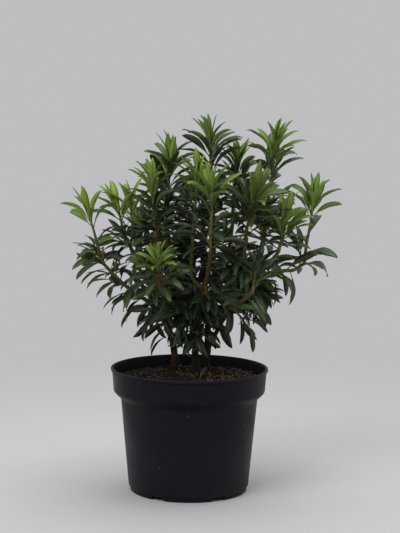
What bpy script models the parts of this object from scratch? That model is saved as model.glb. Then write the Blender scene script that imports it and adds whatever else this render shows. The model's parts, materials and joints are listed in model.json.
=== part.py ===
"""Potted mountain laurel: a young evergreen shrub in a three litre nursery pot.

The origin is the middle of the pot's flat underside, +Z is up and -Y is the front.
Three woody stems rise from the soil. Boughs leave them and end at masses of leaves:
a shoot mass has a low whorl, a bare waist and a top whorl, and a side mass sits on
the side of a stem or bough, hanging from it as a skirt or filling the inside.
"""
import math
import random
from dataclasses import dataclass

import bmesh
import bpy
from mathutils import Vector

MM = 0.001
SEAT_GAP = 0.3 * MM

# Pot, radii of its outer face and the heights where they change
POT_HEIGHT = 150 * MM
POT_WALL = 1.5 * MM
POT_FLOOR = 1.8 * MM
LIP_RADIUS = 95 * MM
LIP_DEPTH = 4 * MM
COLLAR_TOP_RADIUS = 93.5 * MM
COLLAR_FOOT_RADIUS = 91.5 * MM
COLLAR_FOOT_HEIGHT = 121.5 * MM
SHOULDER_RADIUS = 82.7 * MM
SHOULDER_HEIGHT = 112.5 * MM
BODY_FOOT_RADIUS = 73 * MM
BODY_FOOT_HEIGHT = 6 * MM
FOOT_RADIUS = 71 * MM
FOOT_ROUND = 0.8 * MM
POT_SIDES = 48

# Drainage slots, cut through the foot between its flat lands
SLOT_COUNT = 6
SLOT_FIRST_ANGLE = math.radians(30)
SLOT_WIDTH = 17 * MM
SLOT_HEIGHT = 5 * MM
SLOT_INNER_RADIUS = 57 * MM

# Soil: a plug with a low mound whose flat top carries the stems
SOIL_EDGE_HEIGHT = 136 * MM
SOIL_SLOPE_RADIUS = 66 * MM
SOIL_SLOPE_HEIGHT = 138.5 * MM
MOUND_RADIUS = 34 * MM
MOUND_HEIGHT = 145 * MM
SOIL_CLEARANCE = 0.4 * MM

# Limbs
LIMB_SIDES = 8
STEPS_PER_SPAN = 2
FLARE_GAIN = 0.55
FLARE_HEIGHT = 12 * MM

# Masses of leaves
MASS_GAP = 1.2 * MM
LIMB_CLEARANCE = 0.45 * MM
FOOT_RING_RADIUS = 3.4 * MM
WAIST_RADIUS = 7 * MM
LEAST_HEIGHT = 153 * MM
LOBES = 6
VALLEY_DEPTH = 0.42
UNEVENNESS = 0.13


@dataclass(frozen=True)
class Limb:
    """A tapering stem or bough. Places are in millimetres."""

    name: str
    route: tuple
    base_radius: float
    tip_radius: float
    parent: str = ""
    station: float = 0.0
    end_mass: str = ""


@dataclass(frozen=True)
class ShootMass:
    """Leaves of one upright shoot, from its foot to its highest tip, in millimetres."""

    name: str
    foot: tuple
    tip: tuple
    low_reach: float
    top_reach: float


@dataclass(frozen=True)
class SideMass:
    """Older leaves on the side of a limb, in millimetres."""

    name: str
    limb: str
    station: float
    aim: tuple
    length: float
    reach: float


SHOOTS = (
    ShootMass("mass_far_left", (-105, 0, 275), (-127, 0, 368), 37, 34),
    ShootMass("mass_left", (-74, 15, 296), (-83, 20, 378), 34, 28),
    ShootMass("mass_left_inner", (-42, -4, 305), (-50, 0, 402), 30, 25),
    ShootMass("mass_left_high", (-30, 34, 332), (-27, 37, 434), 30, 26),
    ShootMass("mass_bright_middle", (4, -2, 332), (9, -4, 417), 24, 22),
    ShootMass("mass_top", (26, 32, 345), (21, 30, 461), 32, 27),
    ShootMass("mass_front", (24, -45, 296), (24, -58, 408), 42, 31),
    ShootMass("mass_back_of_top", (52, 66, 345), (56, 68, 434), 28, 22),
    ShootMass("mass_right_high", (92, 28, 330), (101, 28, 452), 32, 29),
    ShootMass("mass_right_inner", (66, -30, 322), (78, -38, 407), 30, 36),
    ShootMass("mass_far_right", (137, -1, 278), (152, 0, 388), 48, 31),
    ShootMass("mass_right", (107, -20, 304), (114, -26, 370), 24, 24),
    ShootMass("mass_front_left", (-35, -72, 256), (-38, -88, 322), 36, 22),
    ShootMass("mass_front_right", (72, -78, 252), (80, -94, 312), 34, 24),
    ShootMass("mass_back_left", (-84, 74, 286), (-95, 86, 372), 36, 28),
    ShootMass("mass_back_left_high", (-32, 84, 322), (-35, 92, 412), 32, 27),
    ShootMass("mass_back_right_high", (14, 92, 300), (12, 104, 396), 34, 27),
    ShootMass("mass_back_right", (98, 84, 286), (110, 96, 366), 36, 28),
    ShootMass("mass_back_middle", (-28, 118, 240), (-32, 138, 316), 34, 24),
    ShootMass("mass_back_low_right", (56, 116, 236), (62, 134, 306), 34, 24),
)

SIDE_MASSES = (
    SideMass("skirt_left", "bough_far_left", 0.60, (-0.5, -0.35, -1), 46, 36),
    SideMass("skirt_front_left", "bough_front_left", 0.34, (-0.35, -0.3, -1), 48, 32),
    SideMass("skirt_front", "stem_main", 0.36, (0.0, -1, -0.5), 42, 28),
    SideMass("skirt_front_right", "bough_front_right", 0.42, (0.45, 0.1, -1), 54, 32),
    SideMass("skirt_right", "bough_right", 0.8, (0.35, 0.1, -1), 40, 34),
    SideMass("skirt_back_left", "bough_back_left", 0.4, (-0.3, 0.3, -1), 50, 34),
    SideMass("skirt_back", "bough_back_middle", 0.42, (0.3, 0.4, -1), 46, 32),
    SideMass("skirt_back_right", "bough_back_right", 0.45, (0.5, 0.3, -1), 50, 34),
    SideMass("inner_front", "stem_main", 0.68, (0.3, -1, 0.0), 46, 34),
    SideMass("inner_left", "stem_left", 0.64, (0.3, -1, 0.1), 40, 32),
    SideMass("inner_right", "bough_right_inner", 0.5, (-0.4, -1, 0.1), 44, 32),
    SideMass("inner_back", "stem_back", 0.66, (-0.6, 1, 0.0), 44, 32),
    SideMass("inner_middle", "bough_top", 0.55, (-0.8, -0.5, 0.0), 40, 30),
    SideMass("inner_right_high", "bough_right_high", 0.5, (0.5, -1, 0.1), 44, 32),
    SideMass("inner_back_right", "bough_back_of_top", 0.42, (1, 0.2, 0.1), 42, 30),
)

LIMBS = (
    Limb("stem_main", ((8, -8), (7, -9, 172), (10, -11, 226), (20, -27, 262)), 4.4, 2.3,
         end_mass="mass_front"),
    Limb("stem_left", ((-16, 16), (-21, 15, 178), (-29, 12, 206), (-35, 5, 255)), 4.2, 2.2,
         end_mass="mass_left_inner"),
    Limb("stem_back", ((18, 20), (22, 27, 176), (20, 44, 226), (15, 72, 268)), 4.2, 2.2,
         end_mass="mass_back_right_high"),
    Limb("bough_far_left", ((-49, 6, 226), (-72, 1, 243), (-90, 0, 259)), 3.0, 2.2,
         "stem_left", 0.46, "mass_far_left"),
    Limb("bough_left", ((-50, 20, 246), (-64, 18, 270)), 2.8, 2.1,
         "stem_left", 0.57, "mass_left"),
    Limb("bough_left_high", ((-24, 22, 262), (-28, 30, 300)), 2.8, 2.1,
         "stem_left", 0.68, "mass_left_high"),
    Limb("bough_front_left", ((-4, -26, 222), (-24, -48, 236)), 2.8, 2.1,
         "stem_main", 0.45, "mass_front_left"),
    Limb("bough_right", ((36, -14, 240), (58, -16, 251), (84, -17, 268)), 3.2, 2.6,
         "stem_main", 0.54),
    Limb("bough_right_tip", ((101, -19, 288),), 2.3, 2.0, "bough_right", 0.9, "mass_right"),
    Limb("bough_far_right", ((106, -8, 268), (124, -4, 270)), 2.3, 2.0,
         "bough_right", 0.76, "mass_far_right"),
    Limb("bough_right_inner", ((62, -20, 272), (64, -27, 298)), 2.4, 2.0,
         "bough_right", 0.5, "mass_right_inner"),
    Limb("bough_front_right", ((44, -36, 232), (62, -60, 240)), 2.5, 2.0,
         "bough_right", 0.2, "mass_front_right"),
    Limb("bough_bright_middle", ((2, -2, 262), (2, -1, 300)), 2.4, 2.0,
         "stem_main", 0.64, "mass_bright_middle"),
    Limb("bough_top", ((28, 34, 250), (28, 34, 300)), 2.8, 2.1,
         "stem_back", 0.3, "mass_top"),
    Limb("bough_back_of_top", ((38, 48, 250), (49, 62, 300)), 2.6, 2.1,
         "stem_back", 0.7, "mass_back_of_top"),
    Limb("bough_right_high", ((50, 26, 222), (80, 27, 272)), 2.8, 2.1,
         "stem_back", 0.2, "mass_right_high"),
    Limb("bough_back_right", ((52, 46, 226), (82, 70, 258)), 2.8, 2.1,
         "stem_back", 0.53, "mass_back_right"),
    Limb("bough_back_left", ((-44, 36, 222), (-70, 60, 258)), 2.8, 2.1,
         "stem_left", 0.3, "mass_back_left"),
    Limb("bough_back_left_high", ((-20, 54, 262), (-28, 74, 296)), 2.6, 2.1,
         "stem_back", 0.62, "mass_back_left_high"),
    Limb("bough_back_middle", ((2, 66, 206), (-18, 96, 222)), 2.6, 2.1,
         "stem_back", 0.46, "mass_back_middle"),
    Limb("bough_back_low_right", ((34, 70, 202), (48, 96, 218)), 2.6, 2.1,
         "stem_back", 0.38, "mass_back_low_right"),
)

POT_COLOUR = (0.022, 0.022, 0.027, 1.0)
SOIL_COLOUR = (0.045, 0.026, 0.016, 1.0)
WOOD_COLOUR = (0.085, 0.050, 0.028, 1.0)
SHOOT_COLOUR = (0.16, 0.17, 0.035, 1.0)
YOUNG_LEAF_COLOUR = (0.12, 0.22, 0.025, 1.0)
OLD_LEAF_COLOUR = (0.02, 0.045, 0.018, 1.0)


def clear_scene():
    """Remove every object that is already in the scene."""
    for thing in list(bpy.data.objects):
        bpy.data.objects.remove(thing, do_unlink=True)


def plain_material(name, colour, roughness):
    """Return a non-metallic Principled material."""
    material = bpy.data.materials.new(name)
    material.use_nodes = True
    shader = material.node_tree.nodes["Principled BSDF"]
    shader.inputs["Base Color"].default_value = colour
    shader.inputs["Roughness"].default_value = roughness
    shader.inputs["Metallic"].default_value = 0.0
    return material


def object_from(bm, name, material):
    """Turn a bmesh into a linked object with outward faces."""
    bmesh.ops.recalc_face_normals(bm, faces=bm.faces)
    if bm.calc_volume(signed=True) < 0:
        bmesh.ops.reverse_faces(bm, faces=bm.faces)
    mesh = bpy.data.meshes.new(name)
    bm.to_mesh(mesh)
    bm.free()
    mesh.shade_smooth()
    mesh.set_sharp_from_angle(angle=math.radians(35))
    if material is not None:
        mesh.materials.append(material)
    body = bpy.data.objects.new(name, mesh)
    bpy.context.scene.collection.objects.link(body)
    return body


def subtract(body, cutter):
    """Cut one object by another for good, and remove the cutter."""
    cutter.display_type = "WIRE"
    cutter.hide_render = True
    cut = body.modifiers.new("cut", "BOOLEAN")
    cut.operation = "DIFFERENCE"
    cut.solver = "EXACT"
    cut.object = cutter
    graph = bpy.context.evaluated_depsgraph_get()
    result = bpy.data.meshes.new_from_object(body.evaluated_get(graph))
    body.modifiers.remove(cut)
    body.data = result
    bpy.data.objects.remove(cutter, do_unlink=True)


def turned_solid(name, profile, material):
    """Turn a profile of (radius, height) points that starts and ends on the axis."""
    bm = bmesh.new()
    points = [bm.verts.new((radius, 0.0, height)) for radius, height in profile]
    edges = [bm.edges.new(pair) for pair in zip(points, points[1:])]
    bmesh.ops.spin(bm, geom=points + edges, cent=(0, 0, 0), axis=(0, 0, 1),
                   angle=math.tau, steps=POT_SIDES, use_merge=True)
    bmesh.ops.remove_doubles(bm, verts=bm.verts, dist=0.01 * MM)
    return object_from(bm, name, material)


def box_cutter(low, high, angle):
    """Return a box between two corners, turned about +Z by an angle."""
    bm = bmesh.new()
    bmesh.ops.create_cube(bm, size=1.0)
    for vert in bm.verts:
        share = [0.5 + value for value in vert.co]
        place = Vector([a + (b - a) * t for a, b, t in zip(low, high, share)])
        vert.co = (place.x * math.cos(angle) - place.y * math.sin(angle),
                   place.x * math.sin(angle) + place.y * math.cos(angle), place.z)
    return object_from(bm, "cutter", None)


def inner_wall():
    """Return the pot's inner profile, from the edge of its floor to the lip."""
    return [
        (FOOT_RADIUS - POT_WALL, POT_FLOOR),
        (BODY_FOOT_RADIUS - POT_WALL, BODY_FOOT_HEIGHT + POT_WALL),
        (SHOULDER_RADIUS - POT_WALL, SHOULDER_HEIGHT + POT_WALL / 2),
        (COLLAR_FOOT_RADIUS - POT_WALL, COLLAR_FOOT_HEIGHT + POT_WALL / 2),
        (COLLAR_TOP_RADIUS - POT_WALL, POT_HEIGHT - LIP_DEPTH),
    ]


def build_pot():
    """Turn the pot's shell and cut its drainage slots."""
    lip_middle = (LIP_RADIUS + COLLAR_TOP_RADIUS - POT_WALL) / 2
    outer = [
        (0.0, 0.0),
        (FOOT_RADIUS - FOOT_ROUND, 0.0),
        (FOOT_RADIUS, FOOT_ROUND),
        (FOOT_RADIUS, SLOT_HEIGHT),
        (BODY_FOOT_RADIUS, BODY_FOOT_HEIGHT),
        (SHOULDER_RADIUS, SHOULDER_HEIGHT),
        (COLLAR_FOOT_RADIUS, COLLAR_FOOT_HEIGHT),
        (COLLAR_TOP_RADIUS, POT_HEIGHT - LIP_DEPTH),
        (LIP_RADIUS, POT_HEIGHT - 0.8 * LIP_DEPTH),
        (LIP_RADIUS, POT_HEIGHT - 0.3 * LIP_DEPTH),
        (lip_middle, POT_HEIGHT),
    ]
    profile = outer + inner_wall()[::-1] + [(0.0, POT_FLOOR)]
    pot = turned_solid("pot", profile, plain_material("pot_plastic", POT_COLOUR, 0.55))
    for index in range(SLOT_COUNT):
        angle = SLOT_FIRST_ANGLE - math.pi / 2 + index * math.tau / SLOT_COUNT
        low = (SLOT_INNER_RADIUS, -SLOT_WIDTH / 2, -SLOT_HEIGHT)
        high = (BODY_FOOT_RADIUS + SLOT_HEIGHT, SLOT_WIDTH / 2, SLOT_HEIGHT)
        subtract(pot, box_cutter(low, high, angle))


def build_soil():
    """Turn the plug of soil that fills the pot."""
    wall = inner_wall()
    high = wall[-1]
    foot = wall[-2]
    share = (SOIL_EDGE_HEIGHT - foot[1]) / (high[1] - foot[1])
    edge = (foot[0] + share * (high[0] - foot[0]), SOIL_EDGE_HEIGHT)
    side = [(radius - SOIL_CLEARANCE, height) for radius, height in wall[1:-1] + [edge]]
    bottom = (wall[0][0] - SOIL_CLEARANCE, POT_FLOOR + SEAT_GAP)
    profile = [(0.0, bottom[1]), bottom] + side + [
        (SOIL_SLOPE_RADIUS, SOIL_SLOPE_HEIGHT),
        (MOUND_RADIUS, MOUND_HEIGHT),
        (0.0, MOUND_HEIGHT),
    ]
    turned_solid("soil", profile, plain_material("bark_soil", SOIL_COLOUR, 0.95))


def smooth_route(points):
    """Return a Catmull-Rom curve through the points as a list of places."""
    ends = [points[0] * 2 - points[1]] + points + [points[-1] * 2 - points[-2]]
    route = []
    for before, start, end, after in zip(ends, ends[1:], ends[2:], ends[3:]):
        for step in range(STEPS_PER_SPAN):
            t = step / STEPS_PER_SPAN
            route.append(0.5 * (2 * start + (end - before) * t
                                + (2 * before - 5 * start + 4 * end - after) * t * t
                                + (3 * start - before - 3 * end + after) * t ** 3))
    route.append(points[-1].copy())
    return route


def point_along(route, station):
    """Return the place at a share of a route's points, and the direction there."""
    where = station * (len(route) - 1)
    index = min(int(where), len(route) - 2)
    step = route[index + 1] - route[index]
    return route[index] + step * (where - index), step.normalized()


class Plant:
    """Works out the routes of limbs and the shapes of masses, and builds them."""

    def __init__(self):
        """Place the shoots, then the limbs from parent to child, then the side masses."""
        self.routes = {}
        self.radii = {}
        self.axes = {}
        self.reaches = {}
        for shoot in SHOOTS:
            self.axes[shoot.name] = (Vector(shoot.foot) * MM, Vector(shoot.tip) * MM)
            self.reaches[shoot.name] = max(shoot.low_reach, shoot.top_reach) * MM
        for limb in LIMBS:
            self.place_limb(limb)
        for group in SIDE_MASSES:
            self.place_side_mass(group)

    def place_limb(self, limb):
        """Work out a limb's smooth route and its radius at each point of it."""
        places = [Vector(place) * MM for place in limb.route if len(place) == 3]
        if limb.parent:
            start = point_along(self.routes[limb.parent], limb.station)[0]
        else:
            start = Vector((limb.route[0][0] * MM, limb.route[0][1] * MM, MOUND_HEIGHT + SEAT_GAP))
        places.insert(0, start)
        if limb.end_mass:
            foot, tip = self.axes[limb.end_mass]
            axis = (tip - foot).normalized()
            places.append(foot - axis * SEAT_GAP)
        route = smooth_route(places)
        last = len(route) - 1
        radii = []
        for index, place in enumerate(route):
            radius = limb.base_radius + (limb.tip_radius - limb.base_radius) * index / last
            if not limb.parent:
                height = place.z - start.z
                radius *= 1 + FLARE_GAIN * max(0.0, 1 - height / FLARE_HEIGHT)
            radii.append(radius * MM)
        self.routes[limb.name] = route
        self.radii[limb.name] = radii

    def place_side_mass(self, group):
        """Set a side mass's foot on the surface of its limb."""
        route = self.routes[group.limb]
        place, along = point_along(route, group.station)
        aim = Vector(group.aim)
        aim = (aim - along * aim.dot(along)).normalized()
        where = group.station * (len(route) - 1)
        radius = self.radii[group.limb][int(where)]
        foot = place + aim * (radius + SEAT_GAP)
        self.axes[group.name] = (foot, foot + aim * group.length * MM)
        self.reaches[group.name] = group.reach * MM

    def limb_mesh(self, limb, name, material, growth=0.0):
        """Sweep a ring of points along a limb's route, with flat ends."""
        route = self.routes[limb.name]
        radii = self.radii[limb.name]
        bm = bmesh.new()
        side = Vector((1, 0, 0))
        rings = []
        for index, (place, radius) in enumerate(zip(route, radii)):
            along = self.direction_at(limb, index)
            side = (side - along * side.dot(along)).normalized()
            other = along.cross(side)
            ring = []
            for turn in range(LIMB_SIDES):
                angle = math.tau * turn / LIMB_SIDES
                spoke = side * math.cos(angle) + other * math.sin(angle)
                ring.append(bm.verts.new(place + spoke * (radius + growth)))
            rings.append(ring)
        bridge_rings(bm, rings)
        bm.faces.new(rings[0][::-1])
        bm.faces.new(rings[-1])
        return object_from(bm, name, material)

    def direction_at(self, limb, index):
        """Return the direction a ring faces: up at the ground, along the mass at its end."""
        route = self.routes[limb.name]
        if index == 0:
            if not limb.parent:
                return Vector((0, 0, 1))
            return (route[1] - route[0]).normalized()
        if index == len(route) - 1:
            if limb.end_mass:
                foot, tip = self.axes[limb.end_mass]
                return (tip - foot).normalized()
            return (route[-1] - route[-2]).normalized()
        return (route[index + 1] - route[index - 1]).normalized()

    def build_limbs(self, wood, green):
        """Build each limb, its base cut to saddle on the limb that carries it."""
        by_name = {limb.name: limb for limb in LIMBS}
        for limb in LIMBS:
            body = self.limb_mesh(limb, limb.name, green if limb.parent else wood)
            if limb.parent:
                parent = by_name[limb.parent]
                subtract(body, self.limb_mesh(parent, "cutter", None, SEAT_GAP))

    def walls_round(self, name, own_limb):
        """Return the planes that keep a mass clear of other masses and of the limbs."""
        foot, tip = self.axes[name]
        walls = [(Vector((0, 0, LEAST_HEIGHT)), Vector((0, 0, -1)))]
        for other, (other_foot, other_tip) in self.axes.items():
            if other == name:
                continue
            here, there = nearest_points(foot, tip, other_foot, other_tip)
            normal = (there - here).normalized()
            share = self.reaches[name] / (self.reaches[name] + self.reaches[other])
            offset = (there - here).length * share - MASS_GAP / 2
            walls.append((here + normal * offset, normal))
        for limb in LIMBS:
            route = self.routes[limb.name]
            radii = self.radii[limb.name]
            for index, (start, end) in enumerate(zip(route, route[1:])):
                if limb.name == own_limb and index >= len(route) - 3:
                    continue
                here, there = nearest_points(foot, tip, start, end)
                normal = (there - here).normalized()
                offset = (there - here).length - radii[index] - LIMB_CLEARANCE
                walls.append((here + normal * max(offset, 0.0), normal))
        return walls

    def mass_mesh(self, name, rows, own_limb, seed, material):
        """Build one uneven, lobed mass from rows of (share of length, reach, rise)."""
        foot, tip = self.axes[name]
        axis = tip - foot
        length = axis.length
        axis.normalize()
        outward = Vector((tip.x, tip.y, 0))
        side = (outward - axis * outward.dot(axis)).normalized()
        other = axis.cross(side)
        walls = self.walls_round(name, own_limb)
        chance = random.Random(seed)
        columns = 2 * LOBES
        bm = bmesh.new()
        rings = []
        for share, reach, rise, lobed in rows:
            hub = foot + axis * (length * share)
            ring = []
            for column in range(columns):
                angle = math.tau * column / columns
                spread = reach
                if lobed:
                    spread *= 1 - VALLEY_DEPTH * (column % 2)
                    spread *= 1 + chance.uniform(-UNEVENNESS, UNEVENNESS)
                spoke = side * math.cos(angle) + other * math.sin(angle)
                arm = spoke * spread + axis * (rise * spread)
                ring.append(bm.verts.new(hub + arm * room_for(hub, arm, walls)))
            rings.append(ring)
        bridge_rings(bm, rings)
        bm.faces.new(rings[0][::-1])
        top = bm.verts.new(tip)
        for column in range(columns):
            bm.faces.new((rings[-1][column], rings[-1][(column + 1) % columns], top))
        return object_from(bm, name, material)

    def build_masses(self, young, old):
        """Build the shoot masses, then the side masses."""
        carriers = {limb.end_mass: limb.name for limb in LIMBS if limb.end_mass}
        for seed, shoot in enumerate(SHOOTS):
            low = shoot.low_reach * MM
            top = shoot.top_reach * MM
            rows = (
                (0.0, FOOT_RING_RADIUS, 0.0, False),
                (0.10, low, 0.08, True),
                (0.28, low * 0.62, 0.05, True),
                (0.44, WAIST_RADIUS, 0.0, False),
                (0.56, top * 0.55, 0.08, True),
                (0.72, top, 0.25, True),
                (0.92, top * 0.50, 0.05, True),
            )
            self.mass_mesh(shoot.name, rows, carriers[shoot.name], seed, young)
        for seed, group in enumerate(SIDE_MASSES, start=len(SHOOTS)):
            reach = group.reach * MM
            rows = (
                (0.0, FOOT_RING_RADIUS, 0.0, False),
                (0.14, reach * 0.62, 0.05, True),
                (0.50, reach, 0.08, True),
                (0.82, reach * 0.55, 0.05, True),
            )
            self.mass_mesh(group.name, rows, "", seed, old)


def bridge_rings(bm, rings):
    """Join neighbouring rings of equal length with quads."""
    for lower, upper in zip(rings, rings[1:]):
        count = len(lower)
        for index in range(count):
            after = (index + 1) % count
            bm.faces.new((lower[index], lower[after], upper[after], upper[index]))


def nearest_points(a, b, c, d):
    """Return the nearest points of the segments a-b and c-d."""
    u, v, w = b - a, d - c, a - c
    uu, uv, vv = u.dot(u), u.dot(v), v.dot(v)
    uw, vw = u.dot(w), v.dot(w)
    det = uu * vv - uv * uv
    s = 0.0 if det < 1e-14 else min(1.0, max(0.0, (uv * vw - vv * uw) / det))
    t = min(1.0, max(0.0, (uv * s + vw) / vv))
    s = min(1.0, max(0.0, (uv * t - uw) / uu))
    return a + u * s, c + v * t


def room_for(hub, arm, walls):
    """Return the share of an arm from a hub that stays on this side of every wall."""
    share = 1.0
    for point, normal in walls:
        push = arm.dot(normal)
        if push > 0:
            share = min(share, (point - hub).dot(normal) / push)
    return max(share, 0.0)


def main():
    """Build the pot, the soil, the limbs and the masses of leaves."""
    clear_scene()
    build_pot()
    build_soil()
    plant = Plant()
    plant.build_limbs(plain_material("bark", WOOD_COLOUR, 0.8),
                      plain_material("green_stem", SHOOT_COLOUR, 0.6))
    plant.build_masses(plain_material("young_leaves", YOUNG_LEAF_COLOUR, 0.5),
                       plain_material("old_leaves", OLD_LEAF_COLOUR, 0.4))


main()
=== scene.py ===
"""Finish of a potted mountain laurel: plastic pot, bark compost, stems, twigs and leaves.

+Z is up and -Y the front. Tables and fields are in millimetres unless they say otherwise,
meshes and materials in metres. Limbs follow the routes of the frame's stems and boughs,
and each mass of the frame is grown again as a shoot or spray by one seeded rule.
"""

import json
import logging
import math
import random
from dataclasses import dataclass, field
from enum import Enum

import bmesh
import bpy
import numpy as np
from mathutils import Matrix, Quaternion, Vector, noise

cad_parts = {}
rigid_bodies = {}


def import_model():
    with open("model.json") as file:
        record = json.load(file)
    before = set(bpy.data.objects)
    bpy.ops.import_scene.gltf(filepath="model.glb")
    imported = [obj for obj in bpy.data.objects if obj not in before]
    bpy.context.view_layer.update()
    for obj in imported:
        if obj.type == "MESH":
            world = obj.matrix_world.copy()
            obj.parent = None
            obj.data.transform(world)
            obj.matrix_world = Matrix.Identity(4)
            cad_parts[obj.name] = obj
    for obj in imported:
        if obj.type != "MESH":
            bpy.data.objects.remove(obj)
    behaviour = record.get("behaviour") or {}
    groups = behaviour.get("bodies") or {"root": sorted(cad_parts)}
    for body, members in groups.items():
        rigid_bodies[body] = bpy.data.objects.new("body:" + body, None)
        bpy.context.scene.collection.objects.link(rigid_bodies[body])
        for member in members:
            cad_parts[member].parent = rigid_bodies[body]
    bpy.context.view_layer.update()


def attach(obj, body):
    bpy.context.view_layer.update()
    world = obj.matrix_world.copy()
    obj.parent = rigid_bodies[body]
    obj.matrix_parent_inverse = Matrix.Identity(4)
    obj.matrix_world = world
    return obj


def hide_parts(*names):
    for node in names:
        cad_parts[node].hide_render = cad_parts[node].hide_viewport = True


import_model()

log = logging.getLogger("potted_laurel")

MM = 0.001
BODY = "root"
UP = Vector((0.0, 0.0, 1.0))
GOLDEN_TURN = math.radians(137.5)
GOLDEN_SHARE = 0.618
VEIN_PAIRS = 7

Colour = tuple[float, float, float]
Place = tuple[float, float, float]
Pair = tuple[float, float]
Socket = bpy.types.NodeSocket
Material = bpy.types.Material
Mesh = bpy.types.Mesh
Object = bpy.types.Object
NodeTree = bpy.types.NodeTree


def between(pair: Pair, share: float) -> float:
    """Return the value at a share of the way between two."""
    return pair[0] + (pair[1] - pair[0]) * share


def clamp(value: float, low: float = 0.0, high: float = 1.0) -> float:
    """Return a value kept between two limits."""
    return min(high, max(low, value))


# --------------------------------------------------------------- materials


class TreeMaker:
    """A node tree while it is put together."""

    def __init__(self, tree: NodeTree) -> None:
        """Take up a tree."""
        self.tree = tree

    def add(self, kind: str, links: dict | None = None, **settings: object) -> bpy.types.Node:
        """Add a node.

        Args:
            kind: The node's type.
            links: Sockets or plain values, by input name or index.
            settings: Properties of the node.

        Returns:
            The new node.
        """
        made = self.tree.nodes.new(kind)
        for name, value in settings.items():
            setattr(made, name, value)
        for key, value in (links or {}).items():
            if isinstance(value, Socket):
                self.tree.links.new(value, made.inputs[key])
            else:
                made.inputs[key].default_value = value
        return made

    def math(self, way: str, *values: Socket | float) -> Socket:
        """Return what a math operation makes of one or two values."""
        return self.add("ShaderNodeMath", dict(enumerate(values)), operation=way).outputs[0]


class MaterialMaker(TreeMaker):
    """One Principled material while its nodes are put together."""

    def __init__(self, name: str, colour: Colour, roughness: float, gloss: float) -> None:
        """Start a non-metallic material.

        Args:
            name: Its name.
            colour: Its base colour, linear.
            roughness: Its roughness.
            gloss: Its specular level.
        """
        self.material = bpy.data.materials.new(name)
        self.material.use_nodes = True
        super().__init__(self.material.node_tree)
        self.shader = self.tree.nodes["Principled BSDF"]
        for label, value in (("Base Color", (*colour, 1.0)), ("Roughness", roughness),
                             ("Specular IOR Level", gloss), ("Metallic", 0.0)):
            self.shader.inputs[label].default_value = value

    def drive(self, label: str, value: Socket) -> None:
        """Let one of the shader's inputs follow a socket."""
        self.tree.links.new(value, self.shader.inputs[label])

    def place(self, scale: Place = (1.0, 1.0, 1.0)) -> Socket:
        """Return Object coordinates, stretched by a scale."""
        source = self.add("ShaderNodeTexCoord").outputs["Object"]
        return self.add("ShaderNodeMapping", {"Vector": source, "Scale": scale}).outputs["Vector"]

    def axis(self, letter: str) -> Socket:
        """Return one of the Object coordinates."""
        return self.add("ShaderNodeSeparateXYZ", {"Vector": self.place()}).outputs[letter]

    def speckle(self, grains: float, layers: float = 3.0,
                stretch: Place = (1.0, 1.0, 1.0)) -> Socket:
        """Return a noise between 0 and 1, with so many grains to a metre and finer layers."""
        return self.add("ShaderNodeTexNoise", {
            "Vector": self.place(stretch), "Scale": grains, "Detail": layers}).outputs["Fac"]

    def ramp(self, factor: Socket, *stops: tuple[float, Colour]) -> Socket:
        """Return a colour that goes through stops as the factor grows.

        Args:
            factor: The factor's socket.
            stops: Positions along the factor, each with its colour.

        Returns:
            The colour's socket.
        """
        made = self.add("ShaderNodeValToRGB", {"Fac": factor})
        elements = made.color_ramp.elements
        while len(elements) < len(stops):
            elements.new(0.5)
        for element, (position, colour) in zip(elements, stops):
            element.position = position
            element.color = (*colour, 1.0)
        return made.outputs["Color"]

    def span(self, value: Socket, low: float, high: float, start: float = 0.0,
             end: float = 1.0) -> Socket:
        """Spread a value from one range onto another, and clamp it there.

        Args:
            value: The value's socket.
            low: Where the first range starts.
            high: Where it ends.
            start: What its start turns into.
            end: What its end turns into.

        Returns:
            The new value's socket.
        """
        return self.add("ShaderNodeMapRange", {
            "Value": value, "From Min": low, "From Max": high,
            "To Min": start, "To Max": end}).outputs["Result"]

    def mix(self, factor: Socket, first: Socket, second: Colour) -> Socket:
        """Return one colour turning into a plain one as the factor grows."""
        links = {0: factor, 6: first, 7: (*second, 1.0)}
        return self.add("ShaderNodeMix", links, data_type="RGBA").outputs[2]

    def roughen(self, value: Socket, low: float, high: float) -> None:
        """Let the roughness vary between two values with a noise."""
        self.drive("Roughness", self.span(value, 0.25, 0.75, low, high))

    def relief(self, height: Socket, depth: float, strength: float = 1.0) -> None:
        """Raise the surface by a height from 0 to 1, so many metres deep."""
        links = {"Height": height, "Distance": depth, "Strength": strength}
        self.drive("Normal", self.add("ShaderNodeBump", links).outputs["Normal"])


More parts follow.
